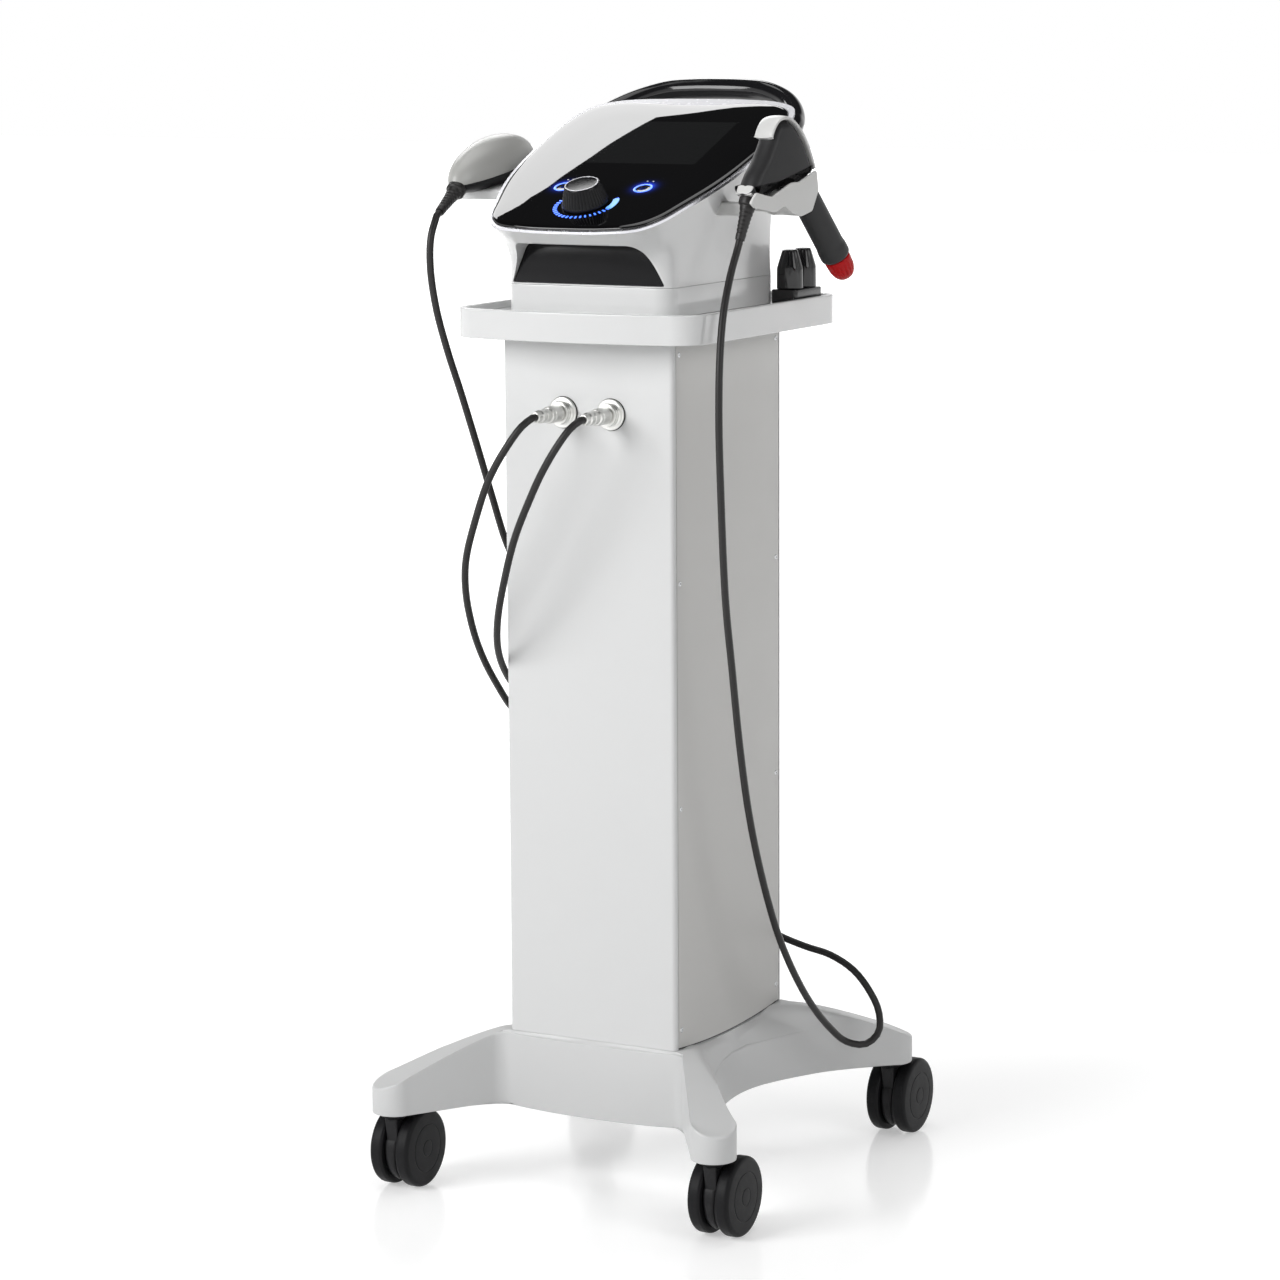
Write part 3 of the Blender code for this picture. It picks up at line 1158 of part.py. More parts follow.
def make_pistol_holder():
    """A clip with two cheeks, a seat under the grip and an arm to the housing. The barrel drops through."""
    plan = eased_corners(CLIP_OUTLINE, CLIP_EASE)
    half = SLOT_HALF + CLIP_WALL
    holder = prism("holder_right", plan, -half, half, GREY, pistol_frame())
    inside = PLINTH_X * 0.8
    lobe = in_pistol(CLIP_SEAT[-1][0], 0.0, -half)
    low, high = (HULL_Z0 + rise for rise in ARM_RISE)
    middle = ((inside + lobe.x) / 2, (ARM_Y[0] + ARM_Y[1]) / 2, (low + high) / 2)
    arm = block("holder_arm", middle, (lobe.x - inside + CLIP_WALL, ARM_Y[1] - ARM_Y[0], high - low))
    boolean(holder, arm, "UNION")
    boolean(holder, loft("holder_right_seat", hull_rings(GAP)), "DIFFERENCE")
    past = BARREL_L
    top, bottom = BARREL_ROOT[1] + past, BARREL_ROOT[1] - past
    right, left = BARREL_ROOT[0] + past, CLIP_OUTLINE[0][0] - past
    slot = [(left, top), (left, bottom), (CLIP_SEAT[-1][0], bottom)] + CLIP_SEAT[::-1]
    slot += [(CLIP_SEAT[0][0], bottom), (right, bottom), (right, top)]
    boolean(holder, prism("clip_slot", slot, -SLOT_HALF, SLOT_HALF, None, pistol_frame()), "DIFFERENCE")


def closer_in_bends(fine, count):
    """Points from a fine line, spread by its length and its turning in equal parts."""
    line = np.array(fine)
    steps = np.diff(line, axis=0)
    length = np.linalg.norm(steps, axis=1)
    way = steps / length[:, None]
    turning = np.concatenate([[0.0], np.linalg.norm(np.diff(way, axis=0), axis=1)])
    share = np.cumsum(length / length.sum() + turning / turning.sum())
    share = np.concatenate([[0.0], share])
    wanted = np.linspace(0.0, share[-1], count)
    return [Vector(v) for v in zip(*[np.interp(wanted, share, column) for column in line.T])]


def make_cords():
    """The two free cables, each from its plug to its handpiece."""
    for name, route, count in (("cord_left", LEFT_CORD_MM, LEFT_CORD_POINTS),
                               ("cord_right", RIGHT_CORD_MM, RIGHT_CORD_POINTS)):
        chosen = [Vector(p) / 1000 for p in route]
        fine = smooth_through(chosen[1:-1], 600)
        points = chosen[:1] + closer_in_bends(fine, count) + chosen[-1:]
        tube(name, points, CORD_R, 2, BLACK)


def move_to_origin():
    """Shift every piece so that the origin is under the middle of the wheelbase."""
    for collection in (PARTS, CUTTERS):
        for obj in bpy.data.collections[collection].objects:
            obj.location += FRAME_SHIFT


def main():
    empty_scene()
    make_casters()
    make_base()
    make_cabinet()
    make_tray()
    make_console()
    make_sockets()
    make_spares()
    make_round_handpiece()
    make_pistol_handpiece()
    make_cords()
    move_to_origin()


main()
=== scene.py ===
from math import atan2, cos, pi, radians, sin, sqrt, tau

import bmesh
import bpy
import numpy as np
from bpy.props import FloatProperty, FloatVectorProperty, IntProperty, PointerProperty
from mathutils import Matrix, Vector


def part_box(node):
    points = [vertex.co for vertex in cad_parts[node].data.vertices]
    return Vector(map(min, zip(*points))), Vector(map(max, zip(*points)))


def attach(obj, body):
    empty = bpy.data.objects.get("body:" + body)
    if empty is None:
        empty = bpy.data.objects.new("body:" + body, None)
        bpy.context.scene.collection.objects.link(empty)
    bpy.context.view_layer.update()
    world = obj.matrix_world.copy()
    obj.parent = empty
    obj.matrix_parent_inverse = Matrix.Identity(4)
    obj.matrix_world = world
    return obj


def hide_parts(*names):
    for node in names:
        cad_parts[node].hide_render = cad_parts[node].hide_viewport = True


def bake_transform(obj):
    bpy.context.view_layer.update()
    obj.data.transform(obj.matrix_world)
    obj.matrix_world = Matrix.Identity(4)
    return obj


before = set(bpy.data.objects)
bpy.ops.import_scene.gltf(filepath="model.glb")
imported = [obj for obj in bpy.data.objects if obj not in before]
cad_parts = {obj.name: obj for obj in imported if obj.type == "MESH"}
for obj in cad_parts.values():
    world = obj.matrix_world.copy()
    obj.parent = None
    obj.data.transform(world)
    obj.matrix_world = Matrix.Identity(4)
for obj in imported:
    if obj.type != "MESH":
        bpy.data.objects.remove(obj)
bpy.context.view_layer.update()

bl_info = {
    "name": "Therapy unit surfaces",
    "version": (1, 0, 0),
    "blender": (4, 5, 0),
    "location": "3D View > Sidebar > Therapy",
    "description": "Fine surfaces and finishes for a wheeled pressure-wave therapy unit",
    "category": "Object",
}

# The unit's own frame. Shapes are worked out round the cabinet's vertical axis and then moved.
UNIT = "unit"
AXIS_Y = (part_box("cabinet_front")[0][1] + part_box("cabinet_rear")[1][1]) / 2
SHIFT = np.array([0.0, AXIS_Y, 0.0])
GAP = 0.0003
CREASE = 35.0
SIDES = (("left", -1), ("right", 1))
ENDS = (("front", -1), ("rear", 1))
UPRIGHT = np.array([[1, 0, 0], [0, 0, 1], [0, 1, 0]], float)

# Heights and half sizes that several pieces share
AXLE_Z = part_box("caster_front_left_wheel_outer")[1][2] / 2
STEM = (0.224, 0.251)
TRAIL = 0.030
BASE_TOP = 0.194
CABINET = (0.1176, 0.1451)
CABINET_Z = (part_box("cabinet_front")[0][2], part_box("cabinet_front")[1][2])
PANEL_BOW = 0.0075
TRAY_Z = (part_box("tray")[0][2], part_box("tray")[1][2])
TRAY_FLOOR = TRAY_Z[1] - 0.008
PLINTH = (0.115, -0.146, 0.140, 0.024)
PLINTH_Z = (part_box("console_plinth")[0][2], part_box("console_plinth")[1][2])
HULL_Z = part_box("console_housing")[0][2]
RIM_TILT = radians(22.0)
RIM_FRONT = (-0.207, 1.195)
RIM_CENTRE = np.array([0.0, -0.015])
RIM_NORMAL = np.array([0.0, -sin(RIM_TILT), cos(RIM_TILT)])
FASCIA_T = 0.0075
BUTTON_AT = (0.055, -0.099)
DIAL_Y = -0.142
SOCKET_AT = (0.033, 0.976)
RACK_AT = (0.136, 0.151)
RACK_SIZE = (0.036, 0.074, 0.018)
SPARE_PITCH = 0.037
PISTOL_ORIGIN = np.array([0.210, 0.0, 0.0])
PISTOL_TURN = atan2(0.956, 0.292)
ALONG = np.array([cos(PISTOL_TURN), sin(PISTOL_TURN), 0.0])
ASIDE = np.array([sin(PISTOL_TURN), -cos(PISTOL_TURN), 0.0])
BARREL_ROOT = (0.002, 1.251)
BARREL_DIR = (0.6, -0.8)
ROUND_CENTRE = np.array([-0.205, -0.021, 1.262])
ROUND_PITCH = radians(11.0)

# Routes of the two cables from plug to handpiece, in millimetres round the cabinet's axis
LEFT_CORD_MM = [
    (-33, -215.1, 976), (-33, -221, 976), (-40, -232, 968), (-56, -241, 944), (-80, -245, 903),
    (-103, -240, 851), (-126, -225, 799), (-140, -203, 756), (-150, -172, 708), (-157, -138, 667),
    (-162, -95, 624), (-166, -45, 582), (-169, 5, 562), (-172, 46, 575), (-175, 61, 620),
    (-178, 48, 680), (-181, 12, 738), (-183, -30, 792), (-187, -58, 855), (-191, -84, 917),
    (-197, -112, 987), (-202, -138, 1047), (-206, -156, 1100), (-207, -166, 1150),
    (-206, -165, 1185), (-205, -152.75, 1210.05), (-205, -145.97, 1214.28)]
RIGHT_CORD_MM = [
    (33, -215.1, 976), (33, -221, 976), (26, -232, 968), (12, -241, 946), (-7, -245, 914),
    (-27, -243, 877), (-50, -237, 832), (-73, -224, 777), (-97, -200, 724), (-116, -168, 682),
    (-130, -125, 644), (-136, -70, 602), (-138, -10, 560), (-138, 50, 520), (-137, 105, 483),
    (-128, 150, 448), (-98, 171, 412), (-50, 174, 372), (0, 173, 334), (50, 171, 300),
    (95, 169, 275), (139, 169, 262), (175, 171, 254), (209, 169, 238), (232, 168, 214),
    (246, 167, 188), (249, 160, 163), (237, 147, 149), (219, 129, 154), (207, 101, 179),
    (201, 48, 230), (198, -16, 311), (197, -60, 390), (196, -98, 483), (195, -122, 574),
    (194, -141, 675), (193, -156, 762), (192, -165, 883), (190, -166, 979), (187, -157, 1055),
    (183, -139, 1106), (180, -114, 1149), (180.52, -96.5, 1178.57), (181.3, -93.97, 1186.12)]


class UnitSizes(bpy.types.PropertyGroup):
    """Sizes of the fine surfaces."""
    wheel_radius: FloatProperty(name="Wheel radius", description="Tread radius of a caster wheel",
                                default=AXLE_Z, unit="LENGTH")
    cord_radius: FloatProperty(name="Cable radius", description="Half the cable's diameter",
                               default=0.0045, unit="LENGTH")
    base_fillet: FloatProperty(name="Casting fillet", description="Rounding along the legs' upper edges",
                               default=0.0045, unit="LENGTH")
    tray_edge: FloatProperty(name="Tray edge", description="Rounding of the tray's rim",
                             default=0.003, unit="LENGTH")
    hull_flare: FloatProperty(name="Housing flare", description="How late the housing's wall flares out",
                              default=1.6, min=1.0, max=3.0)
    hull_waist: FloatProperty(name="Housing waist",
                              description="How far the housing's wall is drawn in half way up",
                              default=0.004, unit="LENGTH")
    dial_flutes: IntProperty(name="Dial flutes", description="Grip flutes round the dial", default=40)
    screw_radius: FloatProperty(name="Screw radius", description="Head radius of the side panels' screws",
                                default=0.0035, unit="LENGTH")


class UnitColours(bpy.types.PropertyGroup):
    """Base colours of the finishes."""
    white: FloatVectorProperty(name="White", description="Painted sheet and mouldings", subtype="COLOR",
                               default=(0.70, 0.705, 0.705))
    panel: FloatVectorProperty(name="Side panel", description="Side panels of the cabinet", subtype="COLOR",
                               default=(0.62, 0.615, 0.60))
    grey: FloatVectorProperty(name="Grey", description="Handpiece shells and clip", subtype="COLOR",
                              default=(0.40, 0.40, 0.385))
    dark: FloatVectorProperty(name="Dark", description="Grip and barrel", subtype="COLOR",
                              default=(0.022, 0.022, 0.023))
    black: FloatVectorProperty(name="Black", description="Casters, handle and heads", subtype="COLOR",
                               default=(0.009, 0.009, 0.010))
    red: FloatVectorProperty(name="Red", description="Applicator cap", subtype="COLOR",
                             default=(0.46, 0.005, 0.007))
    blue: FloatVectorProperty(name="Blue light", description="Lit rings and ticks", subtype="COLOR",
                              default=(0.05, 0.16, 1.0))
    metal: FloatVectorProperty(name="Metal", description="Sockets and plugs", subtype="COLOR",
                               default=(0.62, 0.62, 0.60))


def unit_vector(way):
    """A direction with length one."""
    way = np.asarray(way, float)
    return way / np.linalg.norm(way)


def frame_along(origin, way, across=(1.0, 0.0, 0.0)):
    """Origin and axes of a frame whose third axis points along a direction."""
    z = unit_vector(way)
    x = np.asarray(across, float)
    x = unit_vector(x - z * (x @ z))
    return np.asarray(origin, float), np.stack([x, np.cross(z, x), z])


def put(placed, points):
    """Points in a frame, carried to the unit's own frame."""
    origin, axes = placed
    return np.asarray(points, float) @ axes + origin


LEVEL = (np.zeros(3), np.eye(3))


def through(points, count, closed=False, each=16):
    """Even points on the centripetal curve through the chosen ones: three rounds of straight blends
    between neighbours, with the square root of each distance as the step, then even arc length."""
    p = np.asarray(points, float)
    if closed:
        p = np.vstack([p[-1:], p, p[:2]])
    else:
        p = np.vstack([2 * p[0] - p[1], p, 2 * p[-1] - p[-2]])
    a, b, c, d = p[:-3], p[1:-2], p[2:-1], p[3:]
    t1 = np.sqrt(np.linalg.norm(b - a, axis=1))
    t2 = t1 + np.sqrt(np.linalg.norm(c - b, axis=1))
    t3 = t2 + np.sqrt(np.linalg.norm(d - c, axis=1))
    t = t1[:, None] + (t2 - t1)[:, None] * np.arange(each) / each

    def mix(u, v, low, high):
        share = ((t - low[:, None]) / (high - low)[:, None])[..., None]
        return u * (1 - share) + v * share

    zero = np.zeros_like(t1)
    ab = mix(a[:, None], b[:, None], zero, t1)
    bc = mix(b[:, None], c[:, None], t1, t2)
    cd = mix(c[:, None], d[:, None], t2, t3)
    dense = mix(mix(ab, bc, zero, t2), mix(bc, cd, t1, t3), t1, t2).reshape(-1, p.shape[1])
    return spaced(np.vstack([dense, p[-2:-1]]), count, closed)


def spaced(points, count, closed=False):
    """Even steps of arc length along a fine line. A closed one repeats its first point at the end."""
    points = np.asarray(points, float)
    run = np.concatenate([[0.0], np.cumsum(np.linalg.norm(np.diff(points, axis=0), axis=1))])
    wanted = np.linspace(0.0, run[-1], count + 1 if closed else count)
    even = np.stack([np.interp(wanted, run, column) for column in points.T], -1)
    return even[:-1] if closed else even


def rounded(points, radius, steps=5, closed=False):
    """Each corner of a line becomes the quadratic curve between two points set back from it."""
    p = np.asarray(points, float)
    before, after = np.roll(p, 1, 0), np.roll(p, -1, 0)
    back, on = np.linalg.norm(before - p, axis=1), np.linalg.norm(after - p, axis=1)
    cut = np.minimum(np.broadcast_to(radius, back.shape), 0.49 * np.minimum(back, on))
    start = p + (before - p) * (cut / np.maximum(back, 1e-9))[:, None]
    end = p + (after - p) * (cut / np.maximum(on, 1e-9))[:, None]
    t = np.linspace(0, 1, steps + 1)[None, :, None]
    curve = (1 - t) ** 2 * start[:, None] + 2 * t * (1 - t) * p[:, None] + t * t * end[:, None]
    if closed:
        return curve.reshape(-1, p.shape[1])
    return np.vstack([p[:1], curve[1:-1].reshape(-1, p.shape[1]), p[-1:]])


def around(centre, radius, start, end, steps):
    """Points on a round stretch, angles in degrees."""
    angle = np.radians(np.linspace(start, end, steps + 1))
    return np.stack([centre[0] + radius * np.cos(angle), centre[1] + radius * np.sin(angle)], -1)


def soft_rectangle(x0, x1, y0, y1, radius, steps=10):
    """A plan rectangle with round corners, counter-clockwise."""
    return np.vstack([around((x1 - radius, y1 - radius), radius, 0, 90, steps),
                      around((x0 + radius, y1 - radius), radius, 90, 180, steps),
                      around((x0 + radius, y0 + radius), radius, 180, 270, steps),
                      around((x1 - radius, y0 + radius), radius, 270, 360, steps)])


def drawn_in(outline, inset):
    """A closed outline moved inwards along its own normals."""
    way = np.roll(outline, -1, 0) - np.roll(outline, 1, 0)
    way /= np.maximum(np.linalg.norm(way, axis=1), 1e-9)[:, None]
    normal = np.stack([-way[:, 1], way[:, 0]], -1)
    area = np.sum(outline[:, 0] * np.roll(outline[:, 1], -1) - outline[:, 1] * np.roll(outline[:, 0], -1))
    return outline + normal * inset * np.sign(area)


def solid(name, vertices, faces, crease=CREASE):
    """A closed mesh from points and faces, moved to the unit's frame, with its normals outwards."""
    mesh = bpy.data.meshes.new(name)
    mesh.from_pydata((np.asarray(vertices) + SHIFT).tolist(), [], faces)
    shaped = bmesh.new()
    shaped.from_mesh(mesh)
    bmesh.ops.remove_doubles(shaped, verts=shaped.verts, dist=2e-6)
    bmesh.ops.recalc_face_normals(shaped, faces=shaped.faces)
    shaped.to_mesh(mesh)
    shaped.free()
    mesh.shade_smooth()
    mesh.set_sharp_from_angle(angle=radians(crease))
    obj = bpy.data.objects.new(name, mesh)
    bpy.context.scene.collection.objects.link(obj)
    return obj


def grid_faces(rows, columns, round_v=False, caps=True, first=0):
    """Quads of a grid of points whose rows close round, joined last row to first where asked, with flat
    ends where they aren't."""
    ids = np.arange(rows * columns).reshape(rows, columns) + first
    wide = np.hstack([ids, ids[:, :1]])
    tall = np.vstack([wide, wide[:1]]) if round_v else wide
    quads = np.stack([tall[:-1, :-1], tall[:-1, 1:], tall[1:, 1:], tall[1:, :-1]], -1)
    faces = quads.reshape(-1, 4).tolist()
    if caps and not round_v:
        faces += [ids[0][::-1].tolist(), ids[-1].tolist()]
    return faces


def skin(name, grid, round_v=False, caps=True, crease=CREASE):
    """A surface over a grid of points: rows run along the piece and columns round it."""
    grid = np.asarray(grid, float)
    faces = grid_faces(*grid.shape[:2], round_v, caps)
    return solid(name, grid.reshape(-1, 3), faces, crease)


def gathered(name, grids):
    """Several closed grids as one object."""
    vertices, faces, first = [], [], 0
    for grid in grids:
        faces += grid_faces(*grid.shape[:2], first=first)
        vertices.append(grid.reshape(-1, 3))
        first += grid.shape[0] * grid.shape[1]
    return solid(name, np.vstack(vertices), faces)


def turn(profile, placed=LEVEL, sides=96, flutes=None):
    """Grid of a turned shape: radius and height along the profile, carried round the third axis.
    Flutes take a depth, given for each profile point, off the radius between the crests of a wave."""
    profile = np.asarray(profile, float)
    angle = np.arange(sides) * tau / sides
    radius = np.repeat(profile[:, :1], sides, 1)
    if flutes is not None:
        count, depth, sharp = flutes
        wave = np.abs(np.cos(angle * count / 2)) ** sharp
        radius = radius - np.asarray(depth)[:, None] * (1 - wave)[None, :]
    points = np.stack([radius * np.cos(angle), radius * np.sin(angle),
                       np.repeat(profile[:, 1:2], sides, 1)], -1)
    return put(placed, points)


def lathe(name, profile, placed, sides=96, flutes=None):
    """A turned piece without flat ends."""
    return skin(name, turn(profile, placed, sides, flutes), caps=False)


def hoop(name, section, placed, sides=96):
    """A turned ring: a closed section carried round the third axis."""
    return skin(name, turn(section, placed, sides).transpose(1, 0, 2), round_v=True)


def plate(outline, half, edge, placed=LEVEL, steps=5):
    """Grid of a flat piece with round edges: the outline is drawn in along quarter circles at both faces."""
    phi = np.linspace(0, pi / 2, steps + 1)
    inset = edge * (1 - np.sin(phi))
    height = -half + edge * (1 - np.cos(phi))
    inset, height = np.concatenate([inset, inset[::-1]]), np.concatenate([height, -height[::-1]])
    return pulled(outline, zip(inset, height), placed)


def pulled(outline, levels, placed=LEVEL):
    """Grid of an outline carried through pairs of inset and height."""
    rows = [np.column_stack([drawn_in(outline, i), np.full(len(outline), h)]) for i, h in levels]
    return put(placed, np.stack(rows))


def swept(path, radius, sides):
    """Grid of rings along a path, each square to it, with the ring's axes carried without twist."""
    path = np.asarray(path, float)
    way = np.gradient(path, axis=0)
    way /= np.linalg.norm(way, axis=1)[:, None]
    across = np.zeros_like(path)
    side = unit_vector(np.cross(way[0], (0.31, 0.52, 0.80)))
    for i, ahead in enumerate(way):
        side = unit_vector(side - ahead * (side @ ahead))
        across[i] = side
    other = np.cross(way, across)
    angle = np.arange(sides) * tau / sides
    ring = across[:, None] * np.cos(angle)[None, :, None] + other[:, None] * np.sin(angle)[None, :, None]
    return path[:, None] + ring * radius


def carve(obj, *tools, crease=CREASE):
    """Cut closed tools out of a piece and keep the result as plain mesh."""
    for tool in tools:
        cut = obj.modifiers.new(tool.name, "BOOLEAN")
        cut.operation = "DIFFERENCE"
        cut.solver = "EXACT"
        cut.object = tool
    bpy.context.view_layer.update()
    done = bpy.data.meshes.new_from_object(obj.evaluated_get(bpy.context.evaluated_depsgraph_get()))
    obj.modifiers.clear()
    obj.data = done
    done.name = obj.name
    for tool in tools:
        bpy.data.objects.remove(tool)
    done.shade_smooth()
    done.set_sharp_from_angle(angle=radians(crease))
    return obj


# Finishes

COAT_ROUGH = 0.06
RELIEF = 0.0006
SCREEN = (0.090, -0.036, 0.080)
RING_RADIUS = 0.0105
# Reach of the painted blue glow on the glass round each lit ring
GLOW_REACH = 0.0028


def feed(tree, node, feeds):
    """Give a node's inputs plain values or other nodes' outputs."""
    for key, value in feeds.items():
        if isinstance(value, bpy.types.NodeSocket):
            tree.links.new(value, node.inputs[key])
        else:
            node.inputs[key].default_value = value


def added(tree, kind, out, feeds, **settings):
    """The output of a new node with its settings and feeds."""
    node = tree.nodes.new(f"ShaderNode{kind}")
    for key, value in settings.items():
        setattr(node, key, value)
    feed(tree, node, feeds)
    return node.outputs[out]


def where(tree, space="Object"):
    """The shaded point in a space."""
    return added(tree, "TexCoord", space, {})


def reckoned(tree, operation, a, b=0.0):
    """The result of a sum with numbers or other nodes' outputs."""
    return added(tree, "Math", "Value", {0: a, 1: b}, operation=operation)


def finish(name, colour, rough, metal=0.0, coat=0.0, grain=(700.0, 0.03), mottle=(5.0, 0.03),
           span=0.06, specular=0.5):
    """A Principled finish with a cloudy tint, an uneven gloss and a fine relief, all from noise on
    Object coordinates. Grain and mottle are pairs of a noise scale and a strength."""
    made = bpy.data.materials.new(name)
    made.use_nodes = True
    tree = made.node_tree
    at = where(tree)

    def noise(scale, detail):
        return added(tree, "TexNoise", "Fac", {"Vector": at, "Scale": scale, "Detail": detail})

    cloud, depth = mottle
    tint = added(tree, "Mix", "Result", {
        "Factor": noise(cloud, 4.0), "A": (*[c * (1 - depth) for c in colour], 1.0),
        "B": (*[min(1.0, c * (1 + depth)) for c in colour], 1.0)}, data_type="RGBA")
    gloss = added(tree, "MapRange", "Result", {
        "Value": noise(cloud * 7.0, 3.0), "To Min": max(0.0, rough - span), "To Max": rough + span})
    relief = added(tree, "Bump", "Normal", {
        "Height": noise(grain[0], 2.0), "Strength": grain[1], "Distance": RELIEF})
    feed(tree, tree.nodes["Principled BSDF"], {
        "Metallic": metal, "Coat Weight": coat, "Coat Roughness": COAT_ROUGH, "Specular IOR Level": specular,
        "Base Color": tint, "Roughness": gloss, "Normal": relief})
    return made


def lit(name, colour, strength):
    """A small lamp behind smoked plastic: its light is a little uneven."""
    made = finish(name, (0.01, 0.01, 0.012), 0.3)
    tree = made.node_tree
    cloud = added(tree, "TexNoise", "Fac", {"Vector": where(tree), "Scale": 90.0})
    level = added(tree, "MapRange", "Result", {
        "Value": cloud, "To Min": strength * 0.85, "To Max": strength * 1.15})
    feed(tree, tree.nodes["Principled BSDF"], {"Emission Color": (*colour, 1.0), "Emission Strength": level})
    return made


FINISHES = {}


def finishes():
    """The finishes, made once from the chosen colours."""
    if FINISHES:
        return FINISHES
    c = bpy.context.scene.unit_colours
    white, panel, grey, dark, black, red, blue, metal = (tuple(getattr(c, key)) for key in (
        "white", "panel", "grey", "dark", "black", "red", "blue", "metal"))
    casting = tuple(0.92 * v for v in white)
    # Key, name, colour, roughness, grain, mottle and what else differs
    for key, name, colour, rough, grain, mottle, more in (
            ("powder_coat", "powder_coat_white", white, 0.42, (1600.0, 0.05), (3.0, 0.012), {}),
            ("panel_coat", "powder_coat_panel", panel, 0.46, (1500.0, 0.06), (3.0, 0.015), {}),
            ("cast_coat", "painted_casting", casting, 0.36, (420.0, 0.05), (4.0, 0.015), {}),
            ("white_gloss", "moulded_white", white, 0.20, (300.0, 0.02), (4.0, 0.01), {"coat": 0.25}),
            ("grey_satin", "moulded_grey", grey, 0.34, (1200.0, 0.06), (8.0, 0.02), {}),
            ("pale_satin", "moulded_pale_grey", (0.66, 0.66, 0.65), 0.30, (1200.0, 0.05), (8.0, 0.015), {}),
            ("dark_satin", "moulded_dark", dark, 0.42, (1800.0, 0.14), (10.0, 0.08), {"specular": 0.25}),
            ("black_satin", "moulded_black", black, 0.40, (1500.0, 0.10), (10.0, 0.10), {"specular": 0.20}),
            ("dial_black", "dial_black", (0.007, 0.007, 0.008), 0.16, (1500.0, 0.06), (10.0, 0.10),
             {"specular": 0.15}),
            ("black_gloss", "polished_black", black, 0.10, (250.0, 0.01), (6.0, 0.08),
             {"span": 0.03, "specular": 0.45}),
            ("tyre", "caster_tread", (0.009, 0.009, 0.010), 0.46, (900.0, 0.16), (14.0, 0.12),
             {"specular": 0.14}),
            ("cable", "cable_jacket", (0.016, 0.015, 0.015), 0.40, (2200.0, 0.10), (20.0, 0.10),
             {"specular": 0.30}),
            ("red", "moulded_red", red, 0.26, (800.0, 0.04), (12.0, 0.06), {"specular": 0.14}),
            ("steel", "turned_metal", metal, 0.30, (1400.0, 0.05), (30.0, 0.05), {"metal": 1.0}),
            ("zinc", "zinc_sheet", (0.50, 0.51, 0.52), 0.42, (160.0, 0.08), (60.0, 0.14), {"metal": 1.0}),
            ("alloy", "cast_alloy", (0.48, 0.49, 0.50), 0.50, (500.0, 0.2), (18.0, 0.08), {"metal": 1.0}),
            ("board", "circuit_board", (0.03, 0.16, 0.07), 0.45, (300.0, 0.1), (90.0, 0.3), {})):
        FINISHES[key] = finish(name, colour, rough, grain=grain, mottle=mottle, **more)
    FINISHES.update({
        "silver": trim_finish(),
        "blue_light": lit("blue_light", blue, 3.2),
        "pale_light": lit("pale_blue_light", (0.16, 0.45, 1.0), 1.3),
        "white_mark": lit("white_mark", (0.8, 0.85, 0.9), 0.55),
        "glass": smoked_glass(),
    })
    return FINISHES


def trim_finish():
    """Bright metal along the front and sides that gives way to a pale lacquer across the rear."""
    made = finish("silver_trim", (0.56, 0.56, 0.59), 0.26, metal=1.0, grain=(900.0, 0.03),
                  mottle=(20.0, 0.03))
    tree = made.node_tree
    y = added(tree, "SeparateXYZ", "Y", {"Vector": where(tree)})
    fade = added(tree, "MapRange", "Result", {
        "Value": y, "From Min": 0.050 + AXIS_Y, "From Max": 0.100 + AXIS_Y, "To Min": 1.0, "To Max": 0.0})
    feed(tree, tree.nodes["Principled BSDF"], {"Metallic": fade})
    return made


def smoked_glass():
    """Black polished glass. The dark screen behind it is a faintly paler rectangle, and round each lit
    ring a painted blue glow on the glass falls off with distance from the ring."""
    made = finish("smoked_glass", (0.003, 0.003, 0.0035), 0.008, grain=(60.0, 0.002), mottle=(3.0, 0.2),
                  span=0.004)
    tree = made.node_tree
    shade = tree.nodes["Principled BSDF"]
    x, y = (added(tree, "SeparateXYZ", axis, {"Vector": where(tree)}) for axis in "XY")

    def step(operation, a, b=0.0):
        return reckoned(tree, operation, a, b)

    half, low, high = SCREEN
    middle = (low + high) / 2 + AXIS_Y
    beside = step("LESS_THAN", step("ABSOLUTE", x), half)
    within = step("LESS_THAN", step("ABSOLUTE", step("SUBTRACT", y, middle)), (high - low) / 2)
    plain = shade.inputs["Base Color"].links[0].from_socket
    window = added(tree, "Mix", "Result", {
        "Factor": step("MULTIPLY", beside, within), "A": plain, "B": (0.0105, 0.011, 0.0115, 1.0)},
        data_type="RGBA")
    # Painted glow: emission on the glass itself stands in for the rings' light spreading round them
    glows = []
    for _, sx in SIDES:
        dx = step("SUBTRACT", x, sx * BUTTON_AT[0])
        dy = step("DIVIDE", step("SUBTRACT", y, BUTTON_AT[1] + AXIS_Y), cos(RIM_TILT))
        reach = step("SQRT", step("ADD", step("MULTIPLY", dx, dx), step("MULTIPLY", dy, dy)))
        off = step("ABSOLUTE", step("SUBTRACT", reach, RING_RADIUS))
        glows.append(step("POWER", 2.718, step("DIVIDE", off, -GLOW_REACH)))
    feed(tree, shade, {"Base Color": window, "Emission Color": (0.03, 0.09, 1.0, 1.0),
                       "Emission Strength": step("MULTIPLY", step("ADD", *glows), 0.9)})
    return made


def dress(obj, body, slot, look, *nodes):
    """Give a piece its finish, let it ride on a body and stand for CAD nodes. The slot is not used."""
    obj.data.materials.clear()
    obj.data.materials.append(finishes()[look])
    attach(obj, body)
    if nodes:
        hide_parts(*nodes)
    return obj


def recoat(node, look):
    """A CAD node that stays gets a better finish."""
    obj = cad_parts[node]
    obj.data.materials.clear()
    obj.data.materials.append(finishes()[look])


# Casters

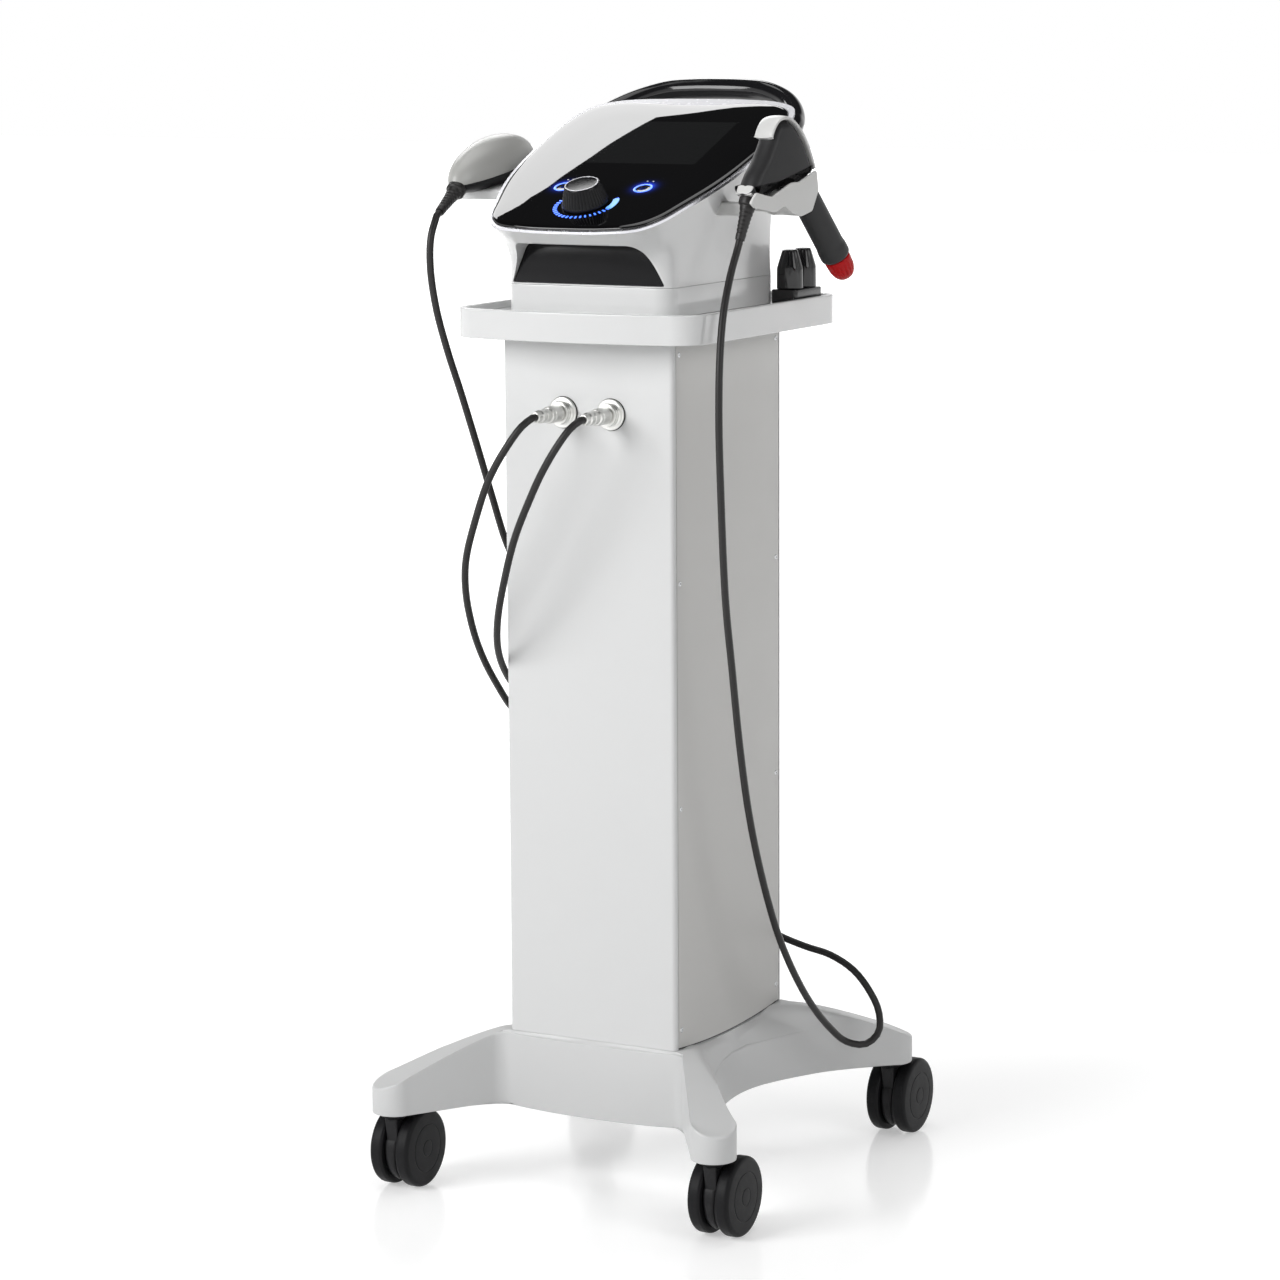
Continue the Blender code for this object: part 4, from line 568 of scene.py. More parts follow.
WHEEL_FACE = 0.0095
HOOD_R = 0.042
HOOD_NECK = (0.012, 0.0970)
TONGUE_ARC = (88, 172)
TONGUE_LEAN = 0.35


def wheel_profile(r):
    """Radius and height of a wheel from its hub cap over the flat disc and the tread to the inner face."""
    w = 0.0195
    outer = [(0.0, w), (0.0100, w), (0.0107, w - 0.0007), (0.0114, w - 0.0002),
             (0.60 * r, w - 0.0005), (0.615 * r, w - 0.0012), (0.63 * r, w - 0.0006), (0.91 * r, w - 0.0013),
             (0.968 * r, w - 0.0028), (0.993 * r, w - 0.0046), (r, w - 0.0066), (r, 0.0032),
             (0.965 * r, 0.0004), (0.90 * r, 0.0), (0.45 * r, 0.0), (0.42 * r, 0.002),
             (0.0042, 0.002), (0.0042, 0.70 * w), (0.0, 0.70 * w)]
    return rounded(outer, 0.0014, 4)


def make_casters(sizes):
    """Four casters: two wheels, the hood between them, its tongue and the neck under the leg."""
    profile = wheel_profile(sizes.wheel_radius)
    for front_rear, sy in ENDS:
        for side, sx in SIDES:
            caster = f"caster_{front_rear}_{side}"
            stem = np.array([sx * STEM[0], sy * STEM[1], 0.0])
            axle = stem + (0.0, TRAIL, AXLE_Z)
            for which, way in (("inner", -sx), ("outer", sx)):
                placed = frame_along(axle + (way * WHEEL_FACE, 0.0, 0.0), (way, 0, 0), (0, 1, 0))
                wheel = lathe(f"{front_rear}_{side}_wheel_{which}", profile, placed)
                dress(wheel, f"{caster}_wheel_{which}", "caster_black", "tyre", f"{caster}_wheel_{which}")
            make_hood(caster, f"{front_rear}_{side}", stem, axle)
            recoat(f"{caster}_axle", "steel")


def make_hood(caster, name, stem, axle):
    """A round-edged hood, a U-shaped tongue laid on its leading side and a skirt under the leg. The tongue's
    half width falls off as the square root of the angle that is left to its lower end."""
    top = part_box(f"{caster}_housing")[1][2] - 0.028
    hood = around((axle[1], axle[2]), HOOD_R, 58, -205, 60)
    neck, high = HOOD_NECK
    outline = np.vstack([[(stem[1] + neck, high)], hood, [(stem[1] - neck, high)]])
    upright = (np.array([axle[0], 0.0, 0.0]), np.array([[0, 1, 0], [0, 0, 1], [1, 0, 0]], float))
    body = plate(outline, 0.0085, 0.0022, upright)
    skirt = turn(rounded([(0.0, top), (0.0200, top), (0.0198, 0.0975), (0.0130, 0.0935), (0.0100, 0.0900),
                          (0.0, 0.0900)], 0.0012), (stem, np.eye(3)), 48)
    start, end = np.radians(TONGUE_ARC)
    a = np.linspace(start, end, 28)[:, None]
    across = np.linspace(-1, 1, 15)[None, :]
    half = 0.0082 * np.sqrt(np.clip((end - a) / (end - start), 0, 1)) + 0.0001
    proud = 0.0424 + 0.0016 * (1 - across ** 6) * np.ones_like(a)
    lean = a - pi / 2 - TONGUE_LEAN
    tongue = np.stack([axle[0] + half * across, axle[1] - proud * np.cos(lean),
                       axle[2] - proud * np.sin(lean)], -1)
    under = tongue.copy()
    under[..., 1:] = axle[1:] + (under[..., 1:] - axle[1:]) * 0.93
    loop = np.concatenate([tongue, under[:, ::-1]], 1)
    pieces = gathered(f"{name}_hood", [body, skirt, loop])
    dress(pieces, caster, "caster_black", "black_satin", f"{caster}_housing")


# Base casting

LEG_R = 0.028
LEG_ARC = (-157, 35)
LEG_BOTTOM = 0.1008
APRON = (0.128, 0.1501)
APRON_CORNER = 0.014
APRON_LOW, SIDE_LOW = 0.097, 0.106
WAIST = 0.132
SHOULDER = 0.159
FOOT_CORNER = 0.006
HIP_SHARE = 0.62
EDGE, TIP = 60, 36


def ease(t):
    """A smooth step from 0 to 1."""
    t = np.clip(t, 0, 1)
    return t * t * (3 - 2 * t)


def leg_fall(r):
    """How far the crown has fallen at a distance from the axis: a power of the distance past the cabinet."""
    near = sqrt(CABINET[0] ** 2 + CABINET[1] ** 2)
    far = sqrt(STEM[0] ** 2 + STEM[1] ** 2) + LEG_R
    return 0.060 * np.clip((r - near) / (far - near), 0, None) ** 1.25


def base_quarter(inset=0.0, hollow=False):
    """A quarter of the casting's plan, from the front's middle: half the apron and the leg's front wall with
    a soft corner, the round leg end, and the side as one arc through the leg end and the waist. The hollow
    stops short of the leg's stem."""
    stem = np.array([STEM[0], -STEM[1]])
    start = stem + LEG_R * np.array([cos(radians(LEG_ARC[0])), sin(radians(LEG_ARC[0]))])
    corner = np.array([APRON[0], -APRON[1]])
    way = unit_vector(start - corner)
    inwards = np.array([-way[1], way[0]])
    corner = corner + np.array([inset * (1 - inwards[1]) / inwards[0], inset])
    if hollow:
        stem = stem - way * 0.080 - inwards * 0.008
    tip = around(stem, 0.012 if hollow else LEG_R, *LEG_ARC, TIP)
    wall = np.vstack([[(0.0, -APRON[1] + inset)], [corner], tip[:1]])
    front = spaced(rounded(wall, APRON_CORNER, 16), EDGE + 1)
    waist = WAIST - inset
    ax, ay = tip[-1]
    centre = (ax * ax + ay * ay - waist * waist) / (2 * (ax - waist))
    y = np.linspace(ay, 0.0, EDGE + 1)[1:]
    side = np.stack([centre - np.sqrt((centre - waist) ** 2 - y * y), y], -1)
    return np.vstack([front[:-1], tip, side])


def foot_quarter(inset=0.0):
    """The same quarter where the cabinet stands, point for point: the apron's points lie straight behind it,
    a leg's points go round the cabinet's corner."""
    a, b, r = CABINET[0] - inset, CABINET[1] - inset, FOOT_CORNER
    plan = base_quarter()
    turning = int(np.argmax(plan[:, 0] > APRON[0]))
    along = plan[:turning, 0] * (a - r) / APRON[0]
    front = np.stack([along, np.full(turning, -b)], -1)
    corner = around((a - r, -b + r), r, -90, 0, len(plan) - EDGE - 1 - turning)
    side = np.stack([np.full(EDGE, a), np.linspace(-b + r, 0.0, EDGE + 1)[1:]], -1)
    return np.vstack([front, corner, side])


def hip_quarter():
    """Where the crown bends between plan and foot, point for point: half way behind the apron, on a short
    stretch behind its corner for a leg, and close to the cabinet on the sides, so that no line leaves the
    plan."""
    plan = base_quarter()
    turning, legs = int(np.argmax(plan[:, 0] > APRON[0])), len(plan) - EDGE
    middle = -(APRON[1] + CABINET[1]) / 2
    apron = np.stack([plan[:turning, 0], np.full(turning, middle)], -1)
    last = HIP_SHARE * plan[legs - 1, 1]
    leg = np.stack([np.full(legs - turning, APRON[0]), np.linspace(middle, last, legs - turning)], -1)
    across = np.linspace(APRON[0], (WAIST + CABINET[0]) / 2, EDGE + 1)[1:]
    side = np.stack([across, HIP_SHARE * plan[legs:, 1]], -1)
    return np.vstack([apron, leg, side])


def all_round(quarter):
    """A quarter that starts at the front's middle, mirrored to the rear and then to the left."""
    to_rear, to_left = ((1, -1), (-1, 1)) if quarter.ndim > 1 else (1, 1)
    half = np.concatenate([quarter, quarter[-2::-1] * to_rear])
    return np.concatenate([half, half[-2:0:-1] * to_left])


def make_base(sizes):
    """The casting: rings from the hollow underneath, over the lower edge, up the wall, round the fillet and
    along the crown to the cabinet's foot. The crown is the higher of a straight slope and the legs' fall,
    and on the hollowed sides the slope alone."""
    quarter = base_quarter()
    share = np.zeros(len(quarter))
    share[-EDGE:] = ease(1 - quarter[-EDGE:, 1] / quarter[-EDGE - 1, 1])
    on_side = all_round(share)
    front = np.zeros(len(quarter))
    front[:EDGE] = ease((0.60 - np.linspace(0, 1, EDGE + 1)[:-1]) / 0.22)
    on_apron = all_round(front)
    plan, foot, hip = all_round(quarter), all_round(foot_quarter()), all_round(hip_quarter())
    seat, under = all_round(foot_quarter(0.0021)), all_round(base_quarter(0.006, True))
    reach = np.hypot(plan[:, 0], plan[:, 1])
    leg = ease((reach - CABINET[1]) / (STEM[1] - CABINET[1]))
    low = APRON_LOW + (LEG_BOTTOM - APRON_LOW) * leg
    sag = 0.003 * (1 - (plan[:, 0] / APRON[0]) ** 2).clip(0, 1)
    low = low + (SIDE_LOW - low) * on_side - sag * on_apron
    dip = 0.003 + sag
    edge = BASE_TOP - leg_fall(reach) - dip * on_apron
    edge = edge + (np.minimum(edge, SHOULDER) - edge) * ease(2.5 * on_side)
    under_panel = np.abs(foot[:, 0]) > CABINET[0] - 1e-6
    top = BASE_TOP - PANEL_BOW * (1 - (foot[:, 1] / 0.1381) ** 2).clip(0, 1) * under_panel
    first, second = np.linalg.norm(hip - plan, axis=1), np.linalg.norm(foot - hip, axis=1)
    f = np.minimum(sizes.base_fillet, 0.4 * first)

    def crown(run):
        """Plan point and height at a length from the edge, over the bend to the foot."""
        over = (run > first)[:, None]
        at = np.where(over, hip + (foot - hip) * ((run - first) / second)[:, None],
                      plan + (hip - plan) * (run / first)[:, None])
        t = run / (first + second)
        slope = edge + (top - edge) * t
        fall = BASE_TOP - leg_fall(np.hypot(at[:, 0], at[:, 1])) - dip * on_apron * (1 - t)
        hump = np.maximum(slope, np.minimum(fall, BASE_TOP))
        return at, hump + (slope - hump) * ease(2.5 * on_side)

    def flat(points, height):
        return np.column_stack([points, np.broadcast_to(height, len(points))])

    rows = [flat(under, BASE_TOP - 0.036), flat(under, low), flat(drawn_in(plan, 0.0016), low),
            flat(drawn_in(plan, 0.0004), low + 0.0005), flat(plan, low + 0.0018)]
    near, height = crown(f)
    for phi in np.linspace(0, pi / 2, 7):
        at = plan + (near - plan) * (1 - np.cos(phi))
        rows.append(flat(at, height - f * (1 - np.sin(phi))))
    rows += [flat(*crown(f + (first - f) * t)) for t in np.linspace(0, 1, 15)[1:]]
    rows += [flat(*crown(first + second * t)) for t in (0.34, 0.67, 1.0)]
    rows += [flat(seat, top), flat(seat, BASE_TOP)]
    base = skin("base_shell", np.stack(rows), crease=38.0)
    dress(base, UNIT, "white_casting", "cast_coat", "base_casting")


# Cabinet

VENT_Z, VENT_PITCH, INLET_Z = 0.86, 0.013, 0.255
SCREW_INSET = 0.0155
SCREW_Z = (1.050, 0.773, 0.495, 0.218)


def sheet_plan(way):
    """Plan of a folded sheet: a wide face, round corners, short returns and set-back flanges."""
    a, b = CABINET
    step, r, t = a - 0.0018, FOOT_CORNER, 0.002
    corner = around((a - r, -b + r), r, -90, 0, 12)
    right = np.vstack([corner, [(a, -b + 0.0066), (step, -b + 0.0066), (step, -b + 0.024),
                                (step - t, -b + 0.024), (step - t, -b + t)]])
    whole = np.vstack([right, right[::-1] * (-1, 1)])
    return whole * (1, -way)


def panel_outline(inset, lift):
    """A side panel's outline from its inset at the front and rear: its lower edge sags as a parabola."""
    z0, z1 = CABINET_Z
    y = np.linspace(-CABINET[1] + inset, CABINET[1] - inset, 60)
    bottom = np.stack([y, z0 + lift - PANEL_BOW * np.clip(1 - (y / 0.138) ** 2, 0, 1)], -1)
    return np.vstack([bottom, [(y[-1], z1 - 0.0006), (y[0], z1 - 0.0006)]])


def make_cabinet(sizes):
    """The folded front and rear sheets, the bowed side panels, their screws and painted shade in the panels'
    gaps.
    """
    a, b = CABINET
    levels = [(0, z) for z in CABINET_Z]
    front = skin("front_sheet", pulled(sheet_plan(-1), levels))
    dress(front, UNIT, "white_paint", "powder_coat", "cabinet_front")
    rear = skin("rear_sheet", pulled(sheet_plan(1), levels))
    vent = soft_rectangle(-0.055, 0.055, -0.0025, 0.0025, 0.0024, 8)
    inlet = soft_rectangle(-0.0143, 0.0143, -0.0123, 0.0123, 0.002, 4)
    holes = [(vent, VENT_Z + i * VENT_PITCH) for i in range(8)] + [(inlet, INLET_Z)]
    carve(rear, *[skin(f"hole_tool_{i}", plate(hole, 0.006, 0.0, (np.array([0, b, z]), UPRIGHT), 1))
                  for i, (hole, z) in enumerate(holes)])
    dress(rear, UNIT, "white_paint", "powder_coat", "cabinet_rear")
    for side, sx in SIDES:
        turned = np.array([[0, 1, 0], [0, 0, 1], [sx, 0, 0]], float)
        facing, behind = ((np.array([sx * (a - depth), 0, 0]), turned) for depth in (0.00075, 0.00165))
        panel = plate(panel_outline(0.0080, 0.0024), 0.00075, 0.0003, facing, 2)
        dress(skin(f"side_panel_{side}", panel, crease=30), UNIT, "panel_grey", "panel_coat",
              f"cabinet_side_{side}")
        # Painted shade: a thin black sheet just behind each panel's edge darkens the gap round the panel
        gap_shade = plate(panel_outline(0.0068, 0.0004), 0.0001, 0.0, behind, 1)
        dress(skin(f"panel_gap_shade_{side}", gap_shade), UNIT, "black_moulding", "black_satin")
        make_screws(side, sx, sizes.screw_radius)
    for node, look in (("mains_inlet", "black_satin"), ("shelf_lower", "zinc"), ("shelf_upper", "zinc"),
                       ("compressor", "alloy"), ("air_tank", "alloy"), ("power_supply", "zinc")):
        recoat(node, look)


def make_screws(side, sx, r):
    """Eight domed screws with a cross recess in each side panel."""
    profile = rounded([(0.0, -0.0006), (0.38 * r, -0.0006), (0.42 * r, 0.0007), (0.8 * r, 0.0006), (r, 0.0),
                       (r, -0.001), (0.0, -0.001)], 0.0002, 2)
    cross = (4, np.where(profile[:, 0] < 0.5 * r, profile[:, 0] * 0.5, 0), 2)
    grids = [turn(profile, frame_along((sx * CABINET[0], y, z), (sx, 0, 0), (0, 1, 0)), 32, cross)
             for y in (-CABINET[1] + SCREW_INSET, CABINET[1] - SCREW_INSET) for z in SCREW_Z]
    dress(gathered(f"panel_screws_{side}", grids), UNIT, "socket_metal", "zinc")


# Tray

def tray_plan():
    """Plan of the tray: a bowed front edge between round corners."""
    x, front, rear, r = 0.168, -0.191, 0.221, 0.040
    t = np.linspace(-1, 1, 41)[1:-1]
    bow = np.stack([t * (x - r), front - 0.013 * (1 - t * t)], -1)
    return np.vstack([around((x - r, rear - r), r, 0, 90, 16), around((-x + r, rear - r), r, 90, 180, 16),
                      around((-x + r, front + r), r, 180, 270, 16), bow,
                      around((x - r, front + r), r, 270, 360, 16)])


def make_tray(sizes):
    """A shallow moulded tray: rings up the wall, over the rim and down to the floor."""
    e, w = sizes.tray_edge, 0.008
    z0, z1 = TRAY_Z
    path = [(0.030, z0), (e, z0), (0.0, z0), (0.0, z0 + 2 * e), (0.0, z1 - 2 * e), (0.0, z1), (w * 0.5, z1),
            (w, z1), (w + 0.0012, TRAY_FLOOR), (w + 0.006, TRAY_FLOOR), (0.036, TRAY_FLOOR)]
    tray = skin("tray_shell", pulled(tray_plan(), rounded(path, e, 6)), crease=40)
    dress(tray, UNIT, "white_moulding", "white_gloss", "tray")


# Console

RIM_COUNT = 288
NOTCH = (0.105, 0.084, 0.050)
NOTCH_Z = HULL_Z + 0.0015
GLASS_INSET, GLASS_REAR, GLASS_ROLL = 0.0053, 0.0223, 0.016
TICK_RADII = (0.0355, 0.0405)


def rim_z(y):
    """Height of the tilted rim plane."""
    return RIM_FRONT[1] + (y - RIM_FRONT[0]) * np.tan(RIM_TILT)


def on_rim(plan, height=0.0):
    """Plan points on the tilted rim plane, raised square to it."""
    plan = np.asarray(plan, float)
    lifted = np.column_stack([plan, rim_z(plan[:, 1])])
    return lifted + RIM_NORMAL * height


def rim_frame(x, y, height=0.0):
    """Frame on the rim plane: X across, Y up the slope, Z out of it."""
    return frame_along(on_rim([(x, y)], height)[0], RIM_NORMAL)


def by_angle(outline):
    """A star-shaped outline, first filled in along its edges, read at even angles about the console's
    centre."""
    outline = spaced(np.vstack([outline, outline[:1]]), 4000)[:-1]
    rel = outline - RIM_CENTRE
    angle = np.arctan2(rel[:, 1], rel[:, 0]) % tau
    order = np.argsort(angle)
    wanted = np.arange(RIM_COUNT) * tau / RIM_COUNT
    reach = np.interp(wanted, angle[order], np.hypot(rel[:, 0], rel[:, 1])[order], period=tau)
    return RIM_CENTRE + np.stack([reach * np.cos(wanted), reach * np.sin(wanted)], -1)


def rim_outline(inset=0.0, rear_inset=None):
    """The shield-shaped rim in plan, drawn in evenly and, if asked, more at the rear."""
    half = np.array([(0.0, -0.207), (0.055, -0.205), (0.098, -0.196), (0.117, -0.176), (0.131, -0.140),
                     (0.1485, -0.085), (0.157, -0.035), (0.160, 0.030), (0.156, 0.095), (0.142, 0.134),
                     (0.110, 0.151), (0.055, 0.157), (0.0, 0.158)])
    whole = np.vstack([half, half[-2:0:-1] * (-1, 1)])
    plan = by_angle(through(whole, 600, True))
    rel = plan - RIM_CENTRE
    reach = np.hypot(rel[:, 0], rel[:, 1])
    rear = inset if rear_inset is None else rear_inset
    back = np.clip(rel[:, 1] / reach, 0, None) ** 4
    return RIM_CENTRE + rel * (1 - (inset + (rear - inset) * back) / reach)[:, None]


def plinth_plan(steps):
    """Plan of the plinth with round corners."""
    half, front, rear, r = PLINTH
    return soft_rectangle(-half, half, front, rear, r, steps)


def hull_grid(flare, waist, rows=28):
    """Rings of the housing from the plinth's plan to the rim, flaring late by a power of the height and
    drawn in by a half wave in between."""
    foot = by_angle(plinth_plan(24))
    rim = rim_outline(0.0008)
    t = np.linspace(0, 1, rows)[:, None, None]
    rel = foot + (rim - foot) * t ** flare - RIM_CENTRE
    reach = np.linalg.norm(rel, axis=-1, keepdims=True)
    plan = RIM_CENTRE + rel * (1 - waist * np.sin(pi * t) / reach)
    z = HULL_Z + (rim_z(rim[:, 1]) - HULL_Z) * t[..., 0]
    return np.concatenate([plan, z[..., None]], -1)


def notch_outline(shrink=0.0, lift=0.0, corner=0.012):
    """The housing's front recess seen from the front, drawn in at its sides and at its two level edges."""
    wide, narrow, tall = NOTCH[0] - shrink, NOTCH[1] - shrink, NOTCH[2]
    low, high = NOTCH_Z + lift, NOTCH_Z + tall - lift
    return rounded([(-wide, low), (wide, low), (narrow, high), (-narrow, high)],
                   np.array([0.003, 0.003, corner, corner]), 8, True)


def make_console(sizes):
    """The plinth, the housing with its front recess and the dark plate in it."""
    z0, z1 = PLINTH_Z
    levels = rounded([(0.02, z0), (0.0, z0), (0.0, z1), (0.02, z1)], 0.0012, 4)
    plinth = skin("plinth_shell", pulled(plinth_plan(16), levels))
    dress(plinth, UNIT, "white_moulding", "white_gloss", "console_plinth")
    hull = skin("housing_shell", hull_grid(sizes.hull_flare, sizes.hull_waist), crease=40)
    tool = plate(notch_outline(), 0.0635, 0.0, (np.array([0, -0.20, 0]), UPRIGHT), 1)
    carve(hull, skin("notch_tool", tool), crease=40)
    dress(hull, UNIT, "white_moulding", "white_gloss", "console_housing")
    back = (np.array([0, -0.1383, 0]), UPRIGHT)
    recess = plate(notch_outline(0.0005, GAP, 0.0115), 0.0015, 0.0006, back, 3)
    dress(skin("recess_panel", recess), UNIT, "black_moulding", "dial_black", "recess_plate")


def make_fascia():
    """The silver rim and the black glass, gently crowned, with its edge rolled down."""
    outer, inner = rim_outline(0.0006), rim_outline(0.005, 0.022)
    section = rounded([(0.0, GAP), (0.0, 0.0036), (1.0, 0.0036), (1.0, GAP)], 0.0009, 4, True)
    rows = [on_rim(outer + (inner - outer) * s, h) for s, h in section]
    trim = skin("rim_trim", np.stack(rows), round_v=True, crease=40)
    dress(trim, UNIT, "silver_trim", "silver", "fascia_trim")

    def glass_plan(inset):
        return rim_outline(GLASS_INSET + inset, GLASS_REAR + inset)

    path = rounded([(0.0, GAP), (0.0, 0.0052), (0.004, FASCIA_T - 0.0004), (GLASS_ROLL, FASCIA_T)], 0.003, 8)
    rows = [on_rim(glass_plan(inset), h) for inset, h in path]
    edge = glass_plan(GLASS_ROLL) - RIM_CENTRE
    rows += [on_rim(RIM_CENTRE + edge * share, FASCIA_T + 0.0004 * (1 - share ** 2))
             for share in (0.8, 0.6, 0.4, 0.2, 0.05)]
    dress(skin("fascia_panel", np.stack(rows), crease=60), UNIT, "fascia_glass", "glass", "fascia_glass")
    for node, look in (("display", "black_gloss"), ("control_board", "board"), ("dial_encoder", "steel")):
        recoat(node, look)


def make_controls(sizes):
    """Two lit push buttons, the fluted dial and the ring of lit ticks round it."""
    top = FASCIA_T + 0.0006
    cap = rounded([(0.0, top - 0.0004), (0.006, top - 0.0003), (0.0085, top), (0.0122, top),
                   (0.0125, top - 0.001), (0.0125, -0.0005), (0.0145, -0.0005), (0.0145, -0.002),
                   (0.004, -0.002), (0.004, -0.0112), (0.0, -0.0112)], 0.0004, 3)
    ring = np.array([(0.0094, top), (0.0100, top + 0.00025), (0.0112, top + 0.00025), (0.0118, top),
                     (0.0106, top - 0.0003)])
    for side, sx in SIDES:
        placed = rim_frame(sx * BUTTON_AT[0], BUTTON_AT[1])
        button = lathe(f"push_button_{side}", cap, placed, 64)
        dress(button, f"button_{side}", "black_gloss", "black_gloss", f"button_{side}")
        dress(hoop(f"button_ring_{side}", ring, placed, 64), f"button_{side}", "black_gloss", "blue_light")
    make_marks()
    make_dial(sizes.dial_flutes)


def make_marks():
    """Lit ticks on the glass in an arc about the dial, one wide pale segment and two small plain marks."""
    height = FASCIA_T + 0.00035
    placed = rim_frame(0.0, DIAL_Y, height)
    inner, outer = TICK_RADII
    ticks = []
    for degrees in np.arange(152, 392, 9.0):
        if 345 < degrees < 384:
            continue
        angle = radians(degrees)
        way = np.array([cos(angle), sin(angle)])
        cross = np.array([-way[1], way[0]])
        corners = np.array([way * inner - cross * 0.0009, way * outer - cross * 0.0011,
                            way * outer + cross * 0.0011, way * inner + cross * 0.0009])
        ticks.append(plate(corners, 0.0002, 0.0, placed, 1))
    dress(gathered("dial_ticks", ticks), UNIT, "fascia_glass", "blue_light")
    arc = np.vstack([around((0, 0), 0.0412, -16, 24, 14), around((0, 0), 0.0335, 24, -16, 14)])
    dress(skin("dial_segment", plate(arc, 0.0002, 0.0, placed, 1)), UNIT, "fascia_glass", "pale_light")
    beyond = rim_frame(0.0, BUTTON_AT[1] + 0.019, height)
    signs = [plate(around((sx * BUTTON_AT[0] + dx, 0.0), 0.0011, 0, 330, 11), 0.0001, 0.0, beyond, 1)
             for _, sx in SIDES for dx in (-0.004, 0.004)]
    dress(gathered("button_marks", signs), UNIT, "fascia_glass", "white_mark")


def make_dial(flutes):
    """A tapered knob whose side is a wave round its axis, with a bright ring let into its top."""
    placed = rim_frame(0.0, DIAL_Y)
    low, tall = FASCIA_T + 0.0006, 0.026
    top = low + tall
    profile = rounded([(0.003, -0.010), (0.003, low), (0.0290, low), (0.0288, low + 0.0035),
                       (0.0275, low + 0.3 * tall), (0.0222, low + 0.90 * tall), (0.0210, top), (0.0188, top),
                       (0.0180, top - 0.0008), (0.0, top - 0.0008)], 0.0012, 4)
    wavy = np.where((profile[:, 1] > low + 0.004) & (profile[:, 1] < low + 0.88 * tall), 0.0008, 0.0)
    dial = lathe("dial_knob", profile, placed, flutes * 8, (flutes, wavy, 0.6))
    dress(dial, "dial", "black_moulding", "dial_black", "dial")
    ring = rounded([(0.0195, top - 0.0004), (0.0195, top + 0.0003), (0.0206, top + 0.0003),
                    (0.0206, top - 0.0004)], 0.0002, 3, True)
    dress(hoop("dial_ring", ring, placed), "dial", "silver_trim", "silver")


def make_handle():
    """The arched grip: a round section carried along a smooth arch, its ends let into the housing."""
    half = np.array([(-0.126, 0.090, 1.298), (-0.145, 0.113, 1.311), (-0.139, 0.138, 1.320),
                     (-0.122, 0.165, 1.334), (-0.100, 0.184, 1.345), (-0.068, 0.196, 1.354),
                     (-0.035, 0.201, 1.3565), (0.0, 0.203, 1.357)])
    path = through(np.vstack([half, half[-2::-1] * (-1, 1, 1)]), 120)
    dress(skin("carry_grip", swept(path, 0.0135, 40)), UNIT, "black_gloss", "black_gloss", "carry_handle")


# Sockets, plugs and cables

def make_sockets():
    """Turned sockets on thin gaskets, with knurled plugs pushed into them."""
    shell = rounded([(0.0065, -0.009), (0.0082, -0.009), (0.0082, 0.0006), (0.0178, 0.0006),
                     (0.0190, 0.0012), (0.0190, 0.0034), (0.0180, 0.0042), (0.0150, 0.0042),
                     (0.0145, 0.0048), (0.0135, 0.0052), (0.0135, 0.0085), (0.0128, 0.0088),
                     (0.0128, 0.0098), (0.0135, 0.0101), (0.0135, 0.0138), (0.0088, 0.0138),
                     (0.0088, 0.004), (0.0065, 0.004)], 0.0004, 3, True)
    gasket = rounded([(0.009, 0.0), (0.0196, 0.0), (0.0196, 0.0007), (0.009, 0.0007)], 0.0002, 2, True)
    for side, sx in SIDES:
        placed = frame_along((sx * SOCKET_AT[0], -CABINET[1] - GAP, SOCKET_AT[1]), (0, -1, 0))
        dress(hoop(f"socket_shell_{side}", shell, placed), UNIT, "socket_metal", "steel", f"socket_{side}")
        dress(hoop(f"socket_gasket_{side}", gasket, placed, 64), UNIT, "black_moulding", "black_satin")
        make_plug(side, placed)


def make_plug(side, placed):
    """A stepped plug: a knurled grip, a hexagon-like nut and a short boot at the cable."""
    n = 0.0143
    profile = rounded([(0.0, 0.0043), (0.0083, 0.0043), (0.0083, n), (0.0100, n), (0.0105, n + 0.0008),
                       (0.0105, n + 0.004), (0.0101, n + 0.0046), (0.0105, n + 0.0052), (0.0105, n + 0.020),
                       (0.0100, n + 0.0205), (0.0100, n + 0.023), (0.0103, n + 0.0235), (0.0095, n + 0.026),
                       (0.0082, n + 0.0265), (0.0082, n + 0.036), (0.0076, n + 0.0365), (0.0076, n + 0.038),
                       (0.0082, n + 0.0385), (0.0080, n + 0.0455), (0.0066, n + 0.0465),
                       (0.0064, n + 0.0545), (0.0055, n + 0.055), (0.0, n + 0.055)], 0.0003, 2)
    knurl = np.where((profile[:, 1] > n + 0.0056) & (profile[:, 1] < n + 0.0196), 0.0005, 0.0)
    plug = lathe(f"plug_shell_{side}", profile, placed, 144, (36, knurl, 1.0))
    dress(plug, UNIT, "socket_metal", "steel", f"plug_{side}")


def cord_path(route, count):
    """The route's first and last points, with a smooth curve through those between."""
    chosen = np.asarray(route, float) / 1000
    return np.vstack([chosen[:1], through(chosen[1:-1], count), chosen[-1:]])


def make_cords(sizes):
    """Two free cables. Each follows the cabinet at its plug and eases over to its handpiece near the top."""
    r = sizes.cord_radius
    for side, route, count, body, start, end in (
            ("left", LEFT_CORD_MM, 150, "round_handpiece", (-0.172, 0, 0.620), (-0.3172, 0, 0.649)),
            ("right", RIGHT_CORD_MM, 260, "pistol_handpiece", (0.1965, 0, 0.4475), (0.3236, 0, 0.473))):
        path = cord_path(route, count)
        cable = skin(f"cable_{side}", swept(path, r, 20), crease=60)
        cable.data.materials.append(finishes()["cable"])
        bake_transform(cable)
        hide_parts(f"cord_{side}")


# Spare heads

